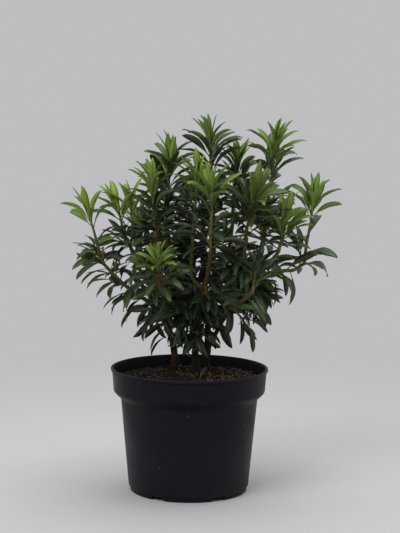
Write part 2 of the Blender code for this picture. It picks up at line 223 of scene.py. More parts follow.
@dataclass(frozen=True)
class PotPlastic:
    """Matt black moulded plastic with a faint dusting, a painted highlight along the lip and a few
    pale specks.

    Heights and depths inside are in metres, like those of every finish.
    """

    name: str = "moulded_black_plastic"
    gloss: float = 0.17
    dark: Colour = (0.0024, 0.0018, 0.0058)
    light: Colour = (0.0048, 0.0040, 0.0092)
    # colour of the dusting, also used for the painted highlight along the lip
    dust_and_highlight: Colour = (0.045, 0.042, 0.043)
    speck: Colour = (0.10, 0.095, 0.085)
    roughness: float = 0.46

    def make(self) -> Material:
        """Make the mottled black, then the dusting at the foot, the painted highlight on the lip's
        top edge and a paler lower body, then the specks.

        Returns:
            The material.
        """
        maker = MaterialMaker(self.name, self.dark, self.roughness, self.gloss)
        body = maker.ramp(maker.speckle(18.0, 4.0), (0.3, self.dark), (0.75, self.light))
        height = maker.axis("Z")
        smear = maker.speckle(42.0, 6.0, (1.0, 1.0, 0.6))
        foot = maker.span(height, 0.030, 0.0, 0.0, 0.35)
        dust_and_highlight_share = maker.math("MULTIPLY", foot, maker.span(smear, 0.45, 0.75))
        for layer in (maker.span(smear, 0.62, 0.88, 0.0, 0.22),
                      # painted highlight: a pale band along the top edge of the lip
                      maker.span(height, 0.1480, 0.1492, 0.0, 0.25),
                      # paler towards the foot, from 110 mm down to 20 mm
                      maker.span(height, 0.110, 0.020, 0.0, 0.085)):
            dust_and_highlight_share = maker.math("MAXIMUM", dust_and_highlight_share, layer)
        body = maker.mix(dust_and_highlight_share, body, self.dust_and_highlight)
        cells = maker.add("ShaderNodeTexVoronoi", {"Vector": maker.place(), "Scale": 120.0}).outputs
        ragged = maker.span(maker.speckle(900.0, 2.0), 0.3, 0.7, 0.0, 0.09)
        dot = maker.span(maker.math("ADD", cells["Distance"], ragged), 0.15, 0.10)
        chance = maker.add("ShaderNodeSeparateColor", {"Color": cells["Color"]}).outputs["Red"]
        rare = maker.math("MULTIPLY", dot, maker.span(chance, 0.86, 0.88))
        maker.drive("Base Color", maker.mix(rare, body, self.speck))
        maker.roughen(maker.speckle(40.0, 4.0), self.roughness - 0.08, self.roughness + 0.12)
        maker.relief(maker.speckle(1500.0, 2.0), 0.00008, 0.7)
        return maker.material


@dataclass(frozen=True)
class Bark:
    """Bark that turns from dark wood through brown and olive to green as it rises.

    Lengths are in metres. grain counts the streaks in a metre and depth is their relief.
    rise holds the heights at which the four tones are reached, and reach the lowest and
    highest that they may have. blush is how strong the red-brown patches are that start
    at the height blush_from.
    """

    name: str
    grain: float
    depth: float
    roughness: float
    wood: Colour = (0.016, 0.0125, 0.0095)
    brown: Colour = (0.060, 0.036, 0.015)
    olive: Colour = (0.145, 0.088, 0.022)
    green: Colour = (0.140, 0.150, 0.026)
    patch: Colour = (0.120, 0.040, 0.016)
    rise: tuple = (0.175, 0.225, 0.275, 0.350)
    reach: Pair = (0.14, 0.40)
    blush: float = 0.7
    blush_from: float = 0.180

    def make(self) -> Material:
        """Make the tones, then the long dark streaks and the patches over them.

        Returns:
            The material.
        """
        maker = MaterialMaker(self.name, self.brown, self.roughness, 0.25)
        low, high = self.reach
        height = maker.axis("Z")
        wander = maker.span(maker.speckle(30.0, 2.0), 0.3, 0.7, -0.02, 0.02)
        level = maker.span(maker.math("ADD", height, wander), low, high)
        tones = (self.wood, self.brown, self.olive, self.green)
        body = maker.ramp(level, *[((stop - low) / (high - low), tone)
                                   for stop, tone in zip(self.rise, tones)])
        streak = maker.speckle(self.grain, 5.0, (1.0, 1.0, 0.22))
        body = maker.mix(maker.span(streak, 0.42, 0.70, 0.0, 0.75), body, self.wood)
        cloud = maker.span(maker.speckle(70.0, 2.0), 0.55, 0.68, 0.0, self.blush)
        raised = maker.span(height, self.blush_from, self.blush_from + 0.04)
        body = maker.mix(maker.math("MULTIPLY", cloud, raised), body, self.patch)
        maker.drive("Base Color", body)
        maker.roughen(streak, self.roughness - 0.1, self.roughness + 0.1)
        maker.relief(streak, self.depth)
        return maker.material


@dataclass(frozen=True)
class Compost:
    """Bark compost: dark and red-brown crumbs, damper and darker towards the left."""

    dark: Colour = (0.0060, 0.0046, 0.0036)
    brown: Colour = (0.026, 0.015, 0.009)
    rust: Colour = (0.080, 0.036, 0.019)

    def make(self) -> Material:
        """Make the crumbs, then the damp over them.

        Returns:
            The material.
        """
        maker = MaterialMaker("damp_bark_compost", self.brown, 0.9, 0.2)
        crumbs = maker.speckle(420.0, 6.0)
        body = maker.ramp(crumbs, (0.36, self.dark), (0.55, self.brown), (0.72, self.rust))
        wet = maker.math("ADD", maker.span(maker.axis("X"), 0.03, -0.05, 0.0, 0.9),
                         maker.span(maker.speckle(35.0), 0.35, 0.65, 0.0, 0.5))
        maker.drive("Base Color", maker.mix(wet, body, self.dark))
        maker.roughen(crumbs, 0.75, 0.98)
        maker.relief(crumbs, 0.0012)
        return maker.material


@dataclass(frozen=True)
class Crumb:
    """One plain colour of chip, fibre or moss, with a fine grain."""

    name: str
    tint: Colour
    roughness: float = 0.85

    def make(self) -> Material:
        """Make the plain colour and its grain.

        Returns:
            The material.
        """
        maker = MaterialMaker(self.name, self.tint, self.roughness, 0.25)
        grain = maker.speckle(900.0, 4.0)
        maker.roughen(grain, self.roughness - 0.12, self.roughness + 0.1)
        maker.relief(grain, 0.0003)
        return maker.material


@dataclass(frozen=True)
class LeafFinish:
    """Colours and gloss of one tone of leaf."""

    label: str
    upper: Colour
    rib: Colour
    under: Colour
    roughness: float
    gloss: float

    def surface(self, part: str, tint: Colour, roughness: float) -> Material:
        """Make one side: a satin that varies, slanting side veins and a sunk midrib.

        Args:
            part: The side's name.
            tint: Its plain colour.
            roughness: Its mean roughness.

        Returns:
            The material.
        """
        maker = MaterialMaker(f"{self.label}_{part}", tint, roughness, self.gloss)
        maker.roughen(maker.speckle(140.0, 2.0), roughness - 0.07, roughness + 0.09)
        chart = maker.add("ShaderNodeUVMap").outputs["UV"]
        split = maker.add("ShaderNodeSeparateXYZ", {"Vector": chart}).outputs
        across = maker.math("ABSOLUTE", maker.math("SUBTRACT", split["X"], 0.5))
        along = maker.math("ADD", split["Y"], maker.math("MULTIPLY", across, -1.1))
        veins = maker.math("SINE", maker.math("MULTIPLY", along, VEIN_PAIRS * math.tau))
        ridge = maker.span(veins, -1.0, 1.0, 0.0, 0.12)
        maker.relief(maker.math("ADD", ridge, maker.span(across, 0.02, 0.09)), 0.0004, 0.5)
        return maker.material

    def make(self) -> list[Material]:
        """Make the materials of a leaf.

        Returns:
            The materials of the upper side, the midrib and the underside.
        """
        return [self.surface("upper", self.upper, self.roughness),
                self.surface("rib", self.rib, self.roughness + 0.05),
                self.surface("under", self.under, self.roughness + 0.18)]


class Tone(Enum):
    """The tones of leaf, from the newest to the oldest, then the dry leaves on the soil."""

    BRIGHT = LeafFinish("bright_young_leaves", (0.225, 0.345, 0.030), (0.36, 0.46, 0.09),
                        (0.25, 0.37, 0.070), 0.44, 0.28)
    FRESH = LeafFinish("fresh_young_leaves", (0.130, 0.225, 0.020), (0.25, 0.34, 0.055),
                       (0.19, 0.28, 0.050), 0.42, 0.30)
    GREEN = LeafFinish("green_leaves", (0.070, 0.130, 0.014), (0.16, 0.22, 0.035),
                       (0.13, 0.19, 0.040), 0.40, 0.34)
    DEEP = LeafFinish("deep_green_leaves", (0.040, 0.070, 0.016), (0.095, 0.13, 0.032),
                      (0.070, 0.100, 0.034), 0.37, 0.44)
    OLD = LeafFinish("old_leaves", (0.023, 0.041, 0.012), (0.058, 0.08, 0.025),
                     (0.048, 0.070, 0.029), 0.36, 0.46)
    DARK = LeafFinish("dark_old_leaves", (0.0125, 0.024, 0.0085), (0.035, 0.05, 0.018),
                      (0.034, 0.050, 0.023), 0.38, 0.42)
    DRY = LeafFinish("dry_fallen_leaves", (0.085, 0.050, 0.026), (0.12, 0.075, 0.04),
                     (0.13, 0.085, 0.050), 0.60, 0.30)

    @property
    def slot(self) -> str:
        """Name the record's slot that the tone belongs to.

        Returns:
            The slot's name.
        """
        if self is Tone.DRY:
            return "bark_soil"
        return "young_leaves" if self in (Tone.BRIGHT, Tone.FRESH, Tone.GREEN) else "old_leaves"


# ------------------------------------------------- meshes and node groups


def mesh_object(name: str, mesh: Mesh) -> Object:
    """Put a mesh into the scene, at the origin.

    Args:
        name: The object's name.
        mesh: Its mesh.

    Returns:
        The linked object.
    """
    made = bpy.data.objects.new(name, mesh)
    bpy.context.scene.collection.objects.link(made)
    return made


def face_out(mesh: Mesh) -> None:
    """Turn every face of a closed mesh outwards.

    Args:
        mesh: The mesh, which is changed.
    """
    bm = bmesh.new()
    bm.from_mesh(mesh)
    bmesh.ops.recalc_face_normals(bm, faces=bm.faces)
    if bm.calc_volume(signed=True) < 0:
        bmesh.ops.reverse_faces(bm, faces=bm.faces)
    bm.to_mesh(mesh)
    bm.free()


def smooth_mesh(name: str, verts: list, faces: list, closed: bool = True) -> Mesh:
    """Make a mesh of points and faces, shaded smooth.

    Args:
        name: Its name.
        verts: Its points.
        faces: Its faces, as indices of points.
        closed: Whether it is a closed body, whose faces are turned outwards.

    Returns:
        The mesh.
    """
    mesh = bpy.data.meshes.new(name)
    mesh.from_pydata([tuple(v) for v in verts], [], faces)
    mesh.validate()
    mesh.shade_smooth()
    if closed:
        face_out(mesh)
    return mesh


def spokes(columns: int) -> list[float]:
    """Return evenly spaced angles round a circle."""
    return [math.tau * column / columns for column in range(columns)]


def on_circle(radius: float, angle: float, height: float) -> Place:
    """Return the place in metres of a point given in millimetres and an angle."""
    return radius * math.cos(angle) * MM, radius * math.sin(angle) * MM, height * MM


def tube_faces(rings: int, columns: int) -> list[tuple]:
    """Join rings of points, numbered ring by ring, into a closed tube.

    Args:
        rings: How many rings there are.
        columns: How many points each ring has.

    Returns:
        The faces, with the two flat ends last.
    """
    sides = [(low + here, low + after, low + columns + after, low + columns + here)
             for low in range(0, (rings - 1) * columns, columns)
             for here, after in zip(range(columns), [*range(1, columns), 0])]
    return [*sides, tuple(range(columns - 1, -1, -1)),
            tuple(range((rings - 1) * columns, rings * columns))]


def turned_faces(rings: int, columns: int) -> list[tuple]:
    """Return the faces of an open tube, closed at its start by a fan from a point before it."""
    sides = [tuple(1 + index for index in face) for face in tube_faces(rings, columns)[:-2]]
    return sides + [(0, 1 + (column + 1) % columns, 1 + column) for column in range(columns)]


def settle(source: Object, tree: NodeTree, values: dict[str, object]) -> Mesh:
    """Run a Geometry Nodes tree on an object, and remove the object.

    Args:
        source: The object that carries the tree's input geometry.
        tree: The node tree.
        values: The tree's named inputs.

    Returns:
        The realized plain mesh.
    """
    run = source.modifiers.new("grow", "NODES")
    run.node_group = tree
    for item in tree.interface.items_tree:
        if item.item_type == "SOCKET" and item.in_out == "INPUT" and item.name in values:
            run[item.identifier] = values[item.name]
    graph = bpy.context.evaluated_depsgraph_get()
    mesh = bpy.data.meshes.new_from_object(
        source.evaluated_get(graph), preserve_all_data_layers=True, depsgraph=graph)
    source.modifiers.remove(run)
    bpy.data.objects.remove(source, do_unlink=True)
    return mesh


class GrowthMaker(TreeMaker):
    """A Geometry Nodes tree while it is put together."""

    def __init__(self, name: str, **inputs: str) -> None:
        """Start a tree.

        Args:
            name: Its name.
            inputs: Kinds of socket by name, beside the geometry.
        """
        super().__init__(bpy.data.node_groups.new(name, "GeometryNodeTree"))
        face = self.tree.interface
        for label, kind in {"Geometry": "Geometry", **inputs}.items():
            face.new_socket(label, in_out="INPUT", socket_type="NodeSocket" + kind)
        face.new_socket("Geometry", in_out="OUTPUT", socket_type="NodeSocketGeometry")
        self.start = self.tree.nodes.new("NodeGroupInput").outputs

    def named(self, name: str, kind: str) -> Socket:
        """Return a named attribute of the points."""
        return self.add("GeometryNodeInputNamedAttribute", {"Name": name},
                        data_type=kind).outputs["Attribute"]

    def instances(self, points: Socket, **links: Socket) -> Socket:
        """Set the given shapes on points and make them real.

        Args:
            points: The points' socket.
            links: Sockets of the instancing node, by name with _ for a space.

        Returns:
            The realized geometry.
        """
        shapes = self.add("GeometryNodeCollectionInfo", {
            "Collection": self.start["Shapes"], "Separate Children": True, "Reset Children": True})
        placed = self.add("GeometryNodeInstanceOnPoints", {
            "Points": points, "Instance": shapes.outputs[0], "Pick Instance": True,
            **{name.replace("_", " "): value for name, value in links.items()}})
        return self.realized(placed.outputs[0])

    def realized(self, geometry: Socket) -> Socket:
        """Return a geometry with its instances made real."""
        return self.add("GeometryNodeRealizeInstances", {0: geometry}).outputs[0]

    def dressed(self, geometry: Socket, label: str, **links: Socket) -> Socket:
        """Return a geometry, or a selection of it, in the material of an input."""
        return self.add("GeometryNodeSetMaterial", {
            "Geometry": geometry, "Material": self.start[label], **links}).outputs[0]

    def close(self, geometry: Socket) -> NodeTree:
        """Send a geometry to the output and return the tree."""
        self.add("NodeGroupOutput", {0: geometry})
        return self.tree


def leaf_tree() -> NodeTree:
    """Make the tree that sets a leaf on each point and gives its sides their materials.

    Returns:
        The tree.
    """
    maker = GrowthMaker("leaves_on_points", Shapes="Collection", Upper="Material",
                        Rib="Material", Under="Material")
    turn = maker.add("FunctionNodeEulerToRotation", {"Euler": maker.named("aim", "FLOAT_VECTOR")})
    whole = maker.instances(
        maker.start["Geometry"], Instance_Index=maker.named("shape", "INT"),
        Rotation=turn.outputs[0], Scale=maker.named("size", "FLOAT_VECTOR"))
    part = maker.named("part", "INT")
    for index, label in enumerate(("Upper", "Rib", "Under")):
        same = maker.add("FunctionNodeCompare", {2: part, 3: index},
                         data_type="INT", operation="EQUAL")
        whole = maker.dressed(whole, label, Selection=same.outputs[0])
    return maker.close(whole)


def twig_tree() -> NodeTree:
    """Make the tree that sweeps a round section along polylines of a given girth.

    Returns:
        The tree.
    """
    maker = GrowthMaker("twigs_on_lines", Sides="Int", Bark="Material")
    line = maker.add("GeometryNodeMeshToCurve", {"Mesh": maker.start["Geometry"]}).outputs[0]
    section = maker.add("GeometryNodeCurvePrimitiveCircle", {
        "Resolution": maker.start["Sides"], "Radius": 1.0}).outputs[0]
    swept = maker.add("GeometryNodeCurveToMesh", {
        "Curve": line, "Profile Curve": section, "Scale": maker.named("girth", "FLOAT"),
        "Fill Caps": True}).outputs[0]
    smooth = maker.add("GeometryNodeSetShadeSmooth", {"Geometry": swept}).outputs[0]
    return maker.close(maker.dressed(maker.realized(smooth), "Bark"))


def scatter_tree() -> NodeTree:
    """Make the tree that strews chips over a surface where its cover lets them lie.

    Returns:
        The tree.
    """
    maker = GrowthMaker("chips_on_surface", Shapes="Collection", Density="Float",
                        Smallest="Float", Largest="Float", Tilt="Float", Seed="Int",
                        Finish="Material")
    start = maker.start
    density = maker.math("MULTIPLY", start["Density"], maker.named("cover", "FLOAT"))
    spread = maker.add("GeometryNodeDistributePointsOnFaces", {
        "Mesh": start["Geometry"], "Density": density, "Seed": start["Seed"]}).outputs[0]
    back = maker.math("MULTIPLY", start["Tilt"], -1.0)
    low = maker.add("ShaderNodeCombineXYZ", {0: back, 1: back, 2: 0.0}).outputs[0]
    high = maker.add("ShaderNodeCombineXYZ", {
        0: start["Tilt"], 1: start["Tilt"], 2: math.tau}).outputs[0]
    turn = maker.add("FunctionNodeRandomValue", {"Min": low, "Max": high, "Seed": start["Seed"]},
                     data_type="FLOAT_VECTOR").outputs[0]
    size = maker.add("FunctionNodeRandomValue", {
        2: start["Smallest"], 3: start["Largest"], "Seed": start["Seed"]},
        data_type="FLOAT").outputs[1]
    return maker.close(maker.dressed(
        maker.instances(spread, Rotation=turn, Scale=size), "Finish"))


def finish_piece(piece: Object, slot: str, *nodes: str) -> Object:
    """Let a finished piece ride on the plant's body and stand for nodes.

    Args:
        piece: The piece.
        slot: The record's slot that it belongs to; not used.
        nodes: The frame's nodes that it replaces.

    Returns:
        The piece.
    """
    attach(piece, BODY)
    if nodes:
        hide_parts(*nodes)
    log.info("%s: %d faces", piece.name, len(piece.data.polygons))
    return piece


# --------------------------------------------------------------------- pot


POT_FINISHES = (
    PotPlastic(),
    # painted shade: a less glossy copy of the black for the recess under the collar
    PotPlastic("recessed_black_plastic", 0.12),
    # painted light: a paler, glossier copy of the black for the inside wall
    PotPlastic("inner_black_plastic", 0.22, (0.0090, 0.0090, 0.0126), (0.0126, 0.0126, 0.0166)),
)


@dataclass
class Pot:
    """The nursery pot; profiles are (radius, height, rounding)."""

    height: float = 150.0
    columns: int = 144
    round_steps: int = 4
    longest: float = 14.0
    outer: tuple = (
        (70.9, 0.0, 0.8), (71.0, 4.9, 0.5), (73.0, 6.0, 0.7), (82.7, 112.5, 1.6),
        (91.5, 121.5, 1.8), (93.2, 144.6, 0.4), (92.9, 145.5, 0.3), (94.9, 146.2, 0.9),
        (95.0, 149.4, 1.2), (93.6, 150.0, 0.6),
    )
    inner: tuple = (
        (92.1, 149.3, 0.5), (91.7, 145.0, 0.5), (90.0, 122.3, 1.5), (81.2, 113.3, 1.5),
        (71.6, 7.6, 1.0), (69.6, 1.8, 1.2),
    )
    slots: int = 6
    slot_width: float = 17.0
    slot_height: float = 5.0
    slot_reach: tuple = (57.0, 78.0)
    slot_edge: float = 0.9
    first_slot: float = math.radians(-60)
    out_of_round: float = 0.35
    # heights between which the recess under the collar takes the painted-shade copy
    recess: tuple = (111.0, 123.0)
    sharp_from: float = math.radians(38)

    def sway(self, angle: float, height: float) -> float:
        """Return how far the thin wall leans out of round, in millimetres."""
        wave = math.cos(2 * angle + 0.6) + 0.6 * math.cos(3 * angle + 2.1)
        return self.out_of_round * (height / self.height) ** 2 * wave

    def profile(self) -> list[Pair]:
        """Round the corners of the wall's profile, and split its long straight stretches.

        Returns:
            The (radius, height) points from the foot's edge over the rim to the floor's.
        """
        floor = self.inner[-1][1]
        corners = [(0.0, 0.0, 0.0), *self.outer, *self.inner, (0.0, floor, 0.0)]
        line = []
        for before, corner, after in zip(corners, corners[1:], corners[2:]):
            here = Vector(corner[:2])
            ways = [Vector(other[:2]) - here for other in (before, after)]
            reach = min(corner[2], *(0.45 * way.length for way in ways))
            start, end = (here + way.normalized() * reach for way in ways)
            for step in range(self.round_steps + 1):
                t = step / self.round_steps
                line.append(tuple(start * (1 - t) ** 2 + here * 2 * t * (1 - t) + end * t * t))
        fine = [line[0]]
        for start, end in zip(line, line[1:]):
            parts = max(1, math.ceil(math.dist(start, end) / self.longest))
            fine += [tuple(between(pair, part / parts) for pair in zip(start, end))
                     for part in range(1, parts + 1)]
        return fine

    def shell(self) -> Mesh:
        """Make the turned shell, without its drainage slots.

        Returns:
            The closed mesh.
        """
        body = self.profile()
        verts = [(0.0, 0.0, 0.0)]
        verts += [on_circle(radius + self.sway(angle, height), angle, height)
                  for radius, height in body for angle in spokes(self.columns)]
        verts.append((0.0, 0.0, self.inner[-1][1] * MM))
        top = 1 + (len(body) - 1) * self.columns
        floor = [(top + column, top + (column + 1) % self.columns, len(verts) - 1)
                 for column in range(self.columns)]
        return smooth_mesh("pot_shell", verts, turned_faces(len(body), self.columns) + floor)

    def slot_cutters(self) -> Object:
        """Make the blocks that the drainage slots are cut with, their tops rounded.

        Returns:
            One object that holds them all.
        """
        bm = bmesh.new()
        near, far = self.slot_reach
        size = Matrix.Diagonal(((far - near) * MM, self.slot_width * MM,
                                2 * self.slot_height * MM, 1.0))
        shift = Matrix.Translation(((near + far) / 2 * MM, 0.0, 0.0))
        for angle in spokes(self.slots):
            turn = Matrix.Rotation(self.first_slot + angle, 4, "Z")
            bmesh.ops.create_cube(bm, size=1.0, matrix=turn @ shift @ size)
        rims = [edge for edge in bm.edges if min(vert.co.z for vert in edge.verts) > 0]
        bmesh.ops.bevel(bm, geom=rims, offset=self.slot_edge * MM, segments=3, profile=0.5,
                        affect="EDGES")
        mesh = bpy.data.meshes.new("slot_cutters")
        bm.to_mesh(mesh)
        bm.free()
        face_out(mesh)
        return mesh_object("slot_cutters", mesh)

    def build(self) -> None:
        """Make the pot, cut its slots and dress it."""
        pot = mesh_object("pot_shell", self.shell())
        cutters = self.slot_cutters()
        cut = pot.modifiers.new("slots", "BOOLEAN")
        cut.operation = "DIFFERENCE"
        cut.solver = "EXACT"
        cut.object = cutters
        graph = bpy.context.evaluated_depsgraph_get()
        mesh = bpy.data.meshes.new_from_object(pot.evaluated_get(graph))
        pot.modifiers.remove(cut)
        pot.data = mesh
        bpy.data.objects.remove(cutters, do_unlink=True)
        mesh.shade_smooth()
        mesh.set_sharp_from_angle(angle=self.sharp_from)
        mesh.materials.clear()
        for finish in POT_FINISHES:
            mesh.materials.append(finish.make())
        for face in mesh.polygons:
            face.material_index = self.finish_of(face)
        finish_piece(pot, "pot_plastic", "pot")

    def finish_of(self, face: bpy.types.MeshPolygon) -> int:
        """Choose which of the pot's finishes a face takes.

        Args:
            face: The face.

        Returns:
            0 for the outside, 1 for the recess under the collar, a less glossy copy
            that paints shade there, 2 for the inside, a paler copy that paints light there.
        """
        slant = 0.3
        out = face.center.xy.normalized().dot(face.normal.xy)
        low, high = self.recess
        if out < -slant and face.center.z > self.inner[-2][1] * MM:
            return 2
        return int(low * MM < face.center.z < high * MM and face.normal.z < -slant)


# -------------------------------------------------------------------- soil


@dataclass(frozen=True)
class Litter:
    """One kind of loose thing on the soil.

    density counts them in a square metre, side says how far they keep to the right, or
    below 0 to the left, and huddle how far they keep to the middle.
    """

    name: str
    finish: Crumb
    length: float
    width: float
    thickness: float
    curl: float
    density: float
    smallest: float
    largest: float
    tilt: float
    seed: int
    side: float = 0.0
    huddle: float = 0.0


LITTER = (
    Litter("dark_chips", Crumb("dark_chip", (0.014, 0.009, 0.006)), 5.5, 3.0, 1.8, 0.3,
           52000.0, 0.30, 1.05, 0.7, 3),
    Litter("brown_chips", Crumb("brown_chip", (0.062, 0.034, 0.020)), 5.5, 2.8, 1.6, 0.3,
           32000.0, 0.30, 1.3, 0.7, 5, 0.85),
    Litter("rusty_chips", Crumb("rusty_chip", (0.200, 0.108, 0.076)), 5.0, 2.4, 1.3, 0.4,
           68000.0, 0.3, 1.2, 0.7, 8, 1.0),
    Litter("pale_fibres", Crumb("pale_fibre", (0.34, 0.23, 0.14)), 9.0, 0.8, 0.5, 1.1,
           5200.0, 0.4, 1.2, 0.35, 11, 0.6),
    Litter("moss_bits", Crumb("moss_bit", (0.090, 0.095, 0.026)), 3.0, 2.4, 1.4, 0.2,
           42000.0, 0.3, 1.4, 0.6, 13, -0.5, 0.8),
)


@dataclass
class Soil:
    """The mounded compost and what lies on it.

    fallen holds the dry leaves: x, y, heading in degrees, rise and length. Under the
    surface the body draws in by tuck at tuck_height, then follows the pot's inner wall
    through the (radius, height) corners of below.
    """

    pot: Pot
    edge_height: float = 136.0
    slope_radius: float = 66.0
    slope_height: float = 138.5
    mound_radius: float = 34.0
    mound_height: float = 145.0
    tuck: float = 2.2
    tuck_height: float = 124.0
    below: tuple = ((80.6, 113.5), (71.2, 8.0), (69.0, 2.2))
    gap: float = 0.3
    columns: int = 120
    rings: int = 40
    crumbs: float = 1.5
    lumps: float = 2.4
    heap_height: float = 3.6
    heap_radius: float = 11.0
    chip_shapes: int = 6
    fallen: tuple = (
        (12.0, -42.0, 64.0, 1.1, 24.0), (-44.0, -30.0, 20.0, 0.10, 26.0),
        (50.0, -36.0, 150.0, 0.12, 22.0), (30.0, 52.0, 200.0, 0.10, 28.0),
        (-40.0, 44.0, 300.0, 0.15, 24.0), (-66.0, 6.0, 95.0, 0.10, 20.0),
    )

    def edge_radius(self) -> float:
        """Work out how far out the soil reaches at its surface.

        Returns:
            The radius.
        """
        (low_r, low_z, _), (high_r, high_z, _) = self.pot.inner[2], self.pot.inner[1]
        share = (self.edge_height - low_z) / (high_z - low_z)
        return low_r + (high_r - low_r) * share - self.gap

    def level(self, radius: float) -> float:
        """Work out the surface's mean height, from the mound down to the edge.

        Args:
            radius: The distance from the middle.

        Returns:
            The height.
        """
        stops = ((0.0, self.mound_height), (self.mound_radius * 0.8, self.mound_height - 0.6),
                 (self.slope_radius, self.slope_height), (self.edge_radius(), self.edge_height))
        return float(np.interp(radius, *zip(*stops)))

    def surface_height(self, x: float, y: float) -> float:
        """Return the surface's height at a place, with lumps, crumbs and heaps at the stems.

        Args:
            x: The place across.
            y: The place in depth.

        Returns:
            The height.
        """
        layers = ((3.0, 17.0, self.lumps), (9.0, 4.6, self.crumbs), (5.0, 1.9, self.crumbs * 0.45))
        lump, crumb, grit = (noise.noise(Vector((x, y, layer)) / size) * depth
                             for layer, size, depth in layers)
        radius = math.hypot(x, y)
        calm = min(1.0, (self.edge_radius() - radius) / 5.0 + 0.25)
        nearest = min(math.dist((x, y), limb.route[0]) for limb in LIMBS if not limb.parent)
        heap = self.heap_height * math.exp(-(nearest / self.heap_radius) ** 2)
        return self.level(radius) + heap * (1 + crumb) + (lump + crumb + grit) * calm - 0.6

    def build(self) -> None:
        """Make the soil's body, which sways with the pot near its edge, then strew its top."""
        edge = self.edge_radius()
        swaying_from = 80.0
        verts = [(0.0, 0.0, self.surface_height(0.0, 0.0) * MM)]
        for ring in range(1, self.rings + 1):
            radius = edge * (ring / self.rings) ** 0.85
            for angle in spokes(self.columns):
                sways = radius > swaying_from
                out = radius + (self.pot.sway(angle, self.edge_height) if sways else 0.0)
                height = self.surface_height(out * math.cos(angle), out * math.sin(angle))
                verts.append(on_circle(out, angle, height))
        below = [(edge - self.tuck, self.tuck_height), *self.below]
        verts += [on_circle(radius, angle, height)
                  for radius, height in below for angle in spokes(self.columns)]
        faces = turned_faces(self.rings + len(below), self.columns)
        faces.append(tuple(range(len(verts) - self.columns, len(verts))))
        mesh = smooth_mesh("soil_mound", verts, faces)
        mesh.materials.append(Compost().make())
        body = finish_piece(mesh_object("soil_mound", mesh), "bark_soil", "soil")
        tree = scatter_tree()
        for kind in LITTER:
            self.strew(body, kind, tree)

    def strew(self, body: Object, kind: Litter, tree: NodeTree) -> None:
        """Strew one kind of litter over the top of the soil.

        Args:
            body: The soil's own object.
            kind: What is strewn.
            tree: The scatter tree.
        """
        bm = bmesh.new()
        bm.from_mesh(body.data)
        low = (self.edge_height - 6.0) * MM
        buried = [face for face in bm.faces
                  if face.calc_center_median().z < low or len(face.verts) > 4]
        bmesh.ops.delete(bm, geom=buried, context="FACES")
        cover = bm.verts.layers.float.new("cover")
        for vert in bm.verts:
            vert[cover] = self.cover(vert.co, kind)
        mesh = bpy.data.meshes.new("strewn")
        bm.to_mesh(mesh)
        bm.free()
        shapes = bpy.data.collections.new(kind.name + "_shapes")
        for index in range(self.chip_shapes):
            shapes.objects.link(bpy.data.objects.new(f"chip_{index}", self.chip(kind, index)))
        made = settle(mesh_object("strewn", mesh), tree, {
            "Shapes": shapes, "Density": kind.density, "Smallest": kind.smallest,
            "Largest": kind.largest, "Tilt": kind.tilt, "Seed": kind.seed,
            "Finish": kind.finish.make()})
        finish_piece(mesh_object(kind.name, made), "bark_soil")

    def cover(self, place: Vector, kind: Litter) -> float:
        """Work out how thickly a kind of litter lies at a place, in patches.

        Args:
            place: The place, in metres.
            kind: The kind of litter.

        Returns:
            A share of its density.
        """
        margin, side_width, middle_width = 4.0 * MM, 60.0 * MM, 30.0 * MM
        if place.xy.length >= self.edge_radius() * MM - margin:
            return 0.0
        side = clamp(0.5 + math.copysign(1.0, kind.side) * place.x / side_width)
        patch = 0.5 + noise.noise(place * 60.0 + Vector((kind.seed, 0.0, 0.0)))
        middle = math.exp(-(place.xy.length / middle_width) ** 2)
        share = abs(kind.side)
        return ((1 - kind.huddle + kind.huddle * middle) * max(0.0, patch)
                * (1 - share + share * side))

    def chip(self, kind: Litter, index: int) -> Mesh:
        """Make one uneven flake or fibre, a closed tube of a few five-sided rings.

        Args:
            kind: The kind of litter.
            index: Which of its shapes this is.

        Returns:
            The closed mesh.
        """
        chance = random.Random(100 * kind.seed + index)
        rings, columns = 4, 5
        verts = []
        for ring in range(rings):
            t = ring / (rings - 1)
            belly = 0.35 + 0.65 * math.sin(math.pi * (0.12 + 0.76 * t))
            thick = belly * chance.uniform(0.75, 1.15)
            bend = kind.curl * (t - 0.5) * kind.length * 0.5
            for spoke in spokes(columns):
                angle = spoke + chance.uniform(-0.3, 0.3)
                y = math.cos(angle) * kind.width * 0.5 * thick + bend * (t - 0.5)
                z = math.sin(angle) * kind.thickness * 0.5 * thick + 0.25 * kind.thickness
                verts.append(((t - 0.5) * kind.length * MM, y * MM, z * MM))
        mesh = smooth_mesh("chip", verts, tube_faces(rings, columns))
        mesh.shade_flat()
        return mesh

    def drop_leaves(self) -> list["Leaf"]:
        """Lay out the dry leaves that lie on the soil or lean on a stem.

        Returns:
            The leaves.
        """
        fallen = []
        for x, y, turn, lift, length in self.fallen:
            turn = math.radians(turn)
            aim = Vector((math.cos(turn), math.sin(turn), lift)).normalized()
            top = (UP - aim * aim.dot(UP)).normalized()
            base = Vector((x, y, self.surface_height(x, y) + 1.0)) * MM
            fallen.append(Leaf(base, aim, top, length * MM, 0.24 * length * MM, 34.0, Tone.DRY))
        return fallen


# ------------------------------------------------------------------- limbs


@dataclass(frozen=True)
class Limb:
    """A tapering stem, or a bough that starts at a station of its parent.

    route is the way it takes, from the foot of a stem or past the start of a bough;
    end_mass is the shoot that it runs into, and leafy how many leaves it carries.
    """

    name: str
    route: tuple
    base_radius: float
    tip_radius: float
    parent: str = ""
    station: float = 0.0
    end_mass: str = ""
    leafy: float = 1.0


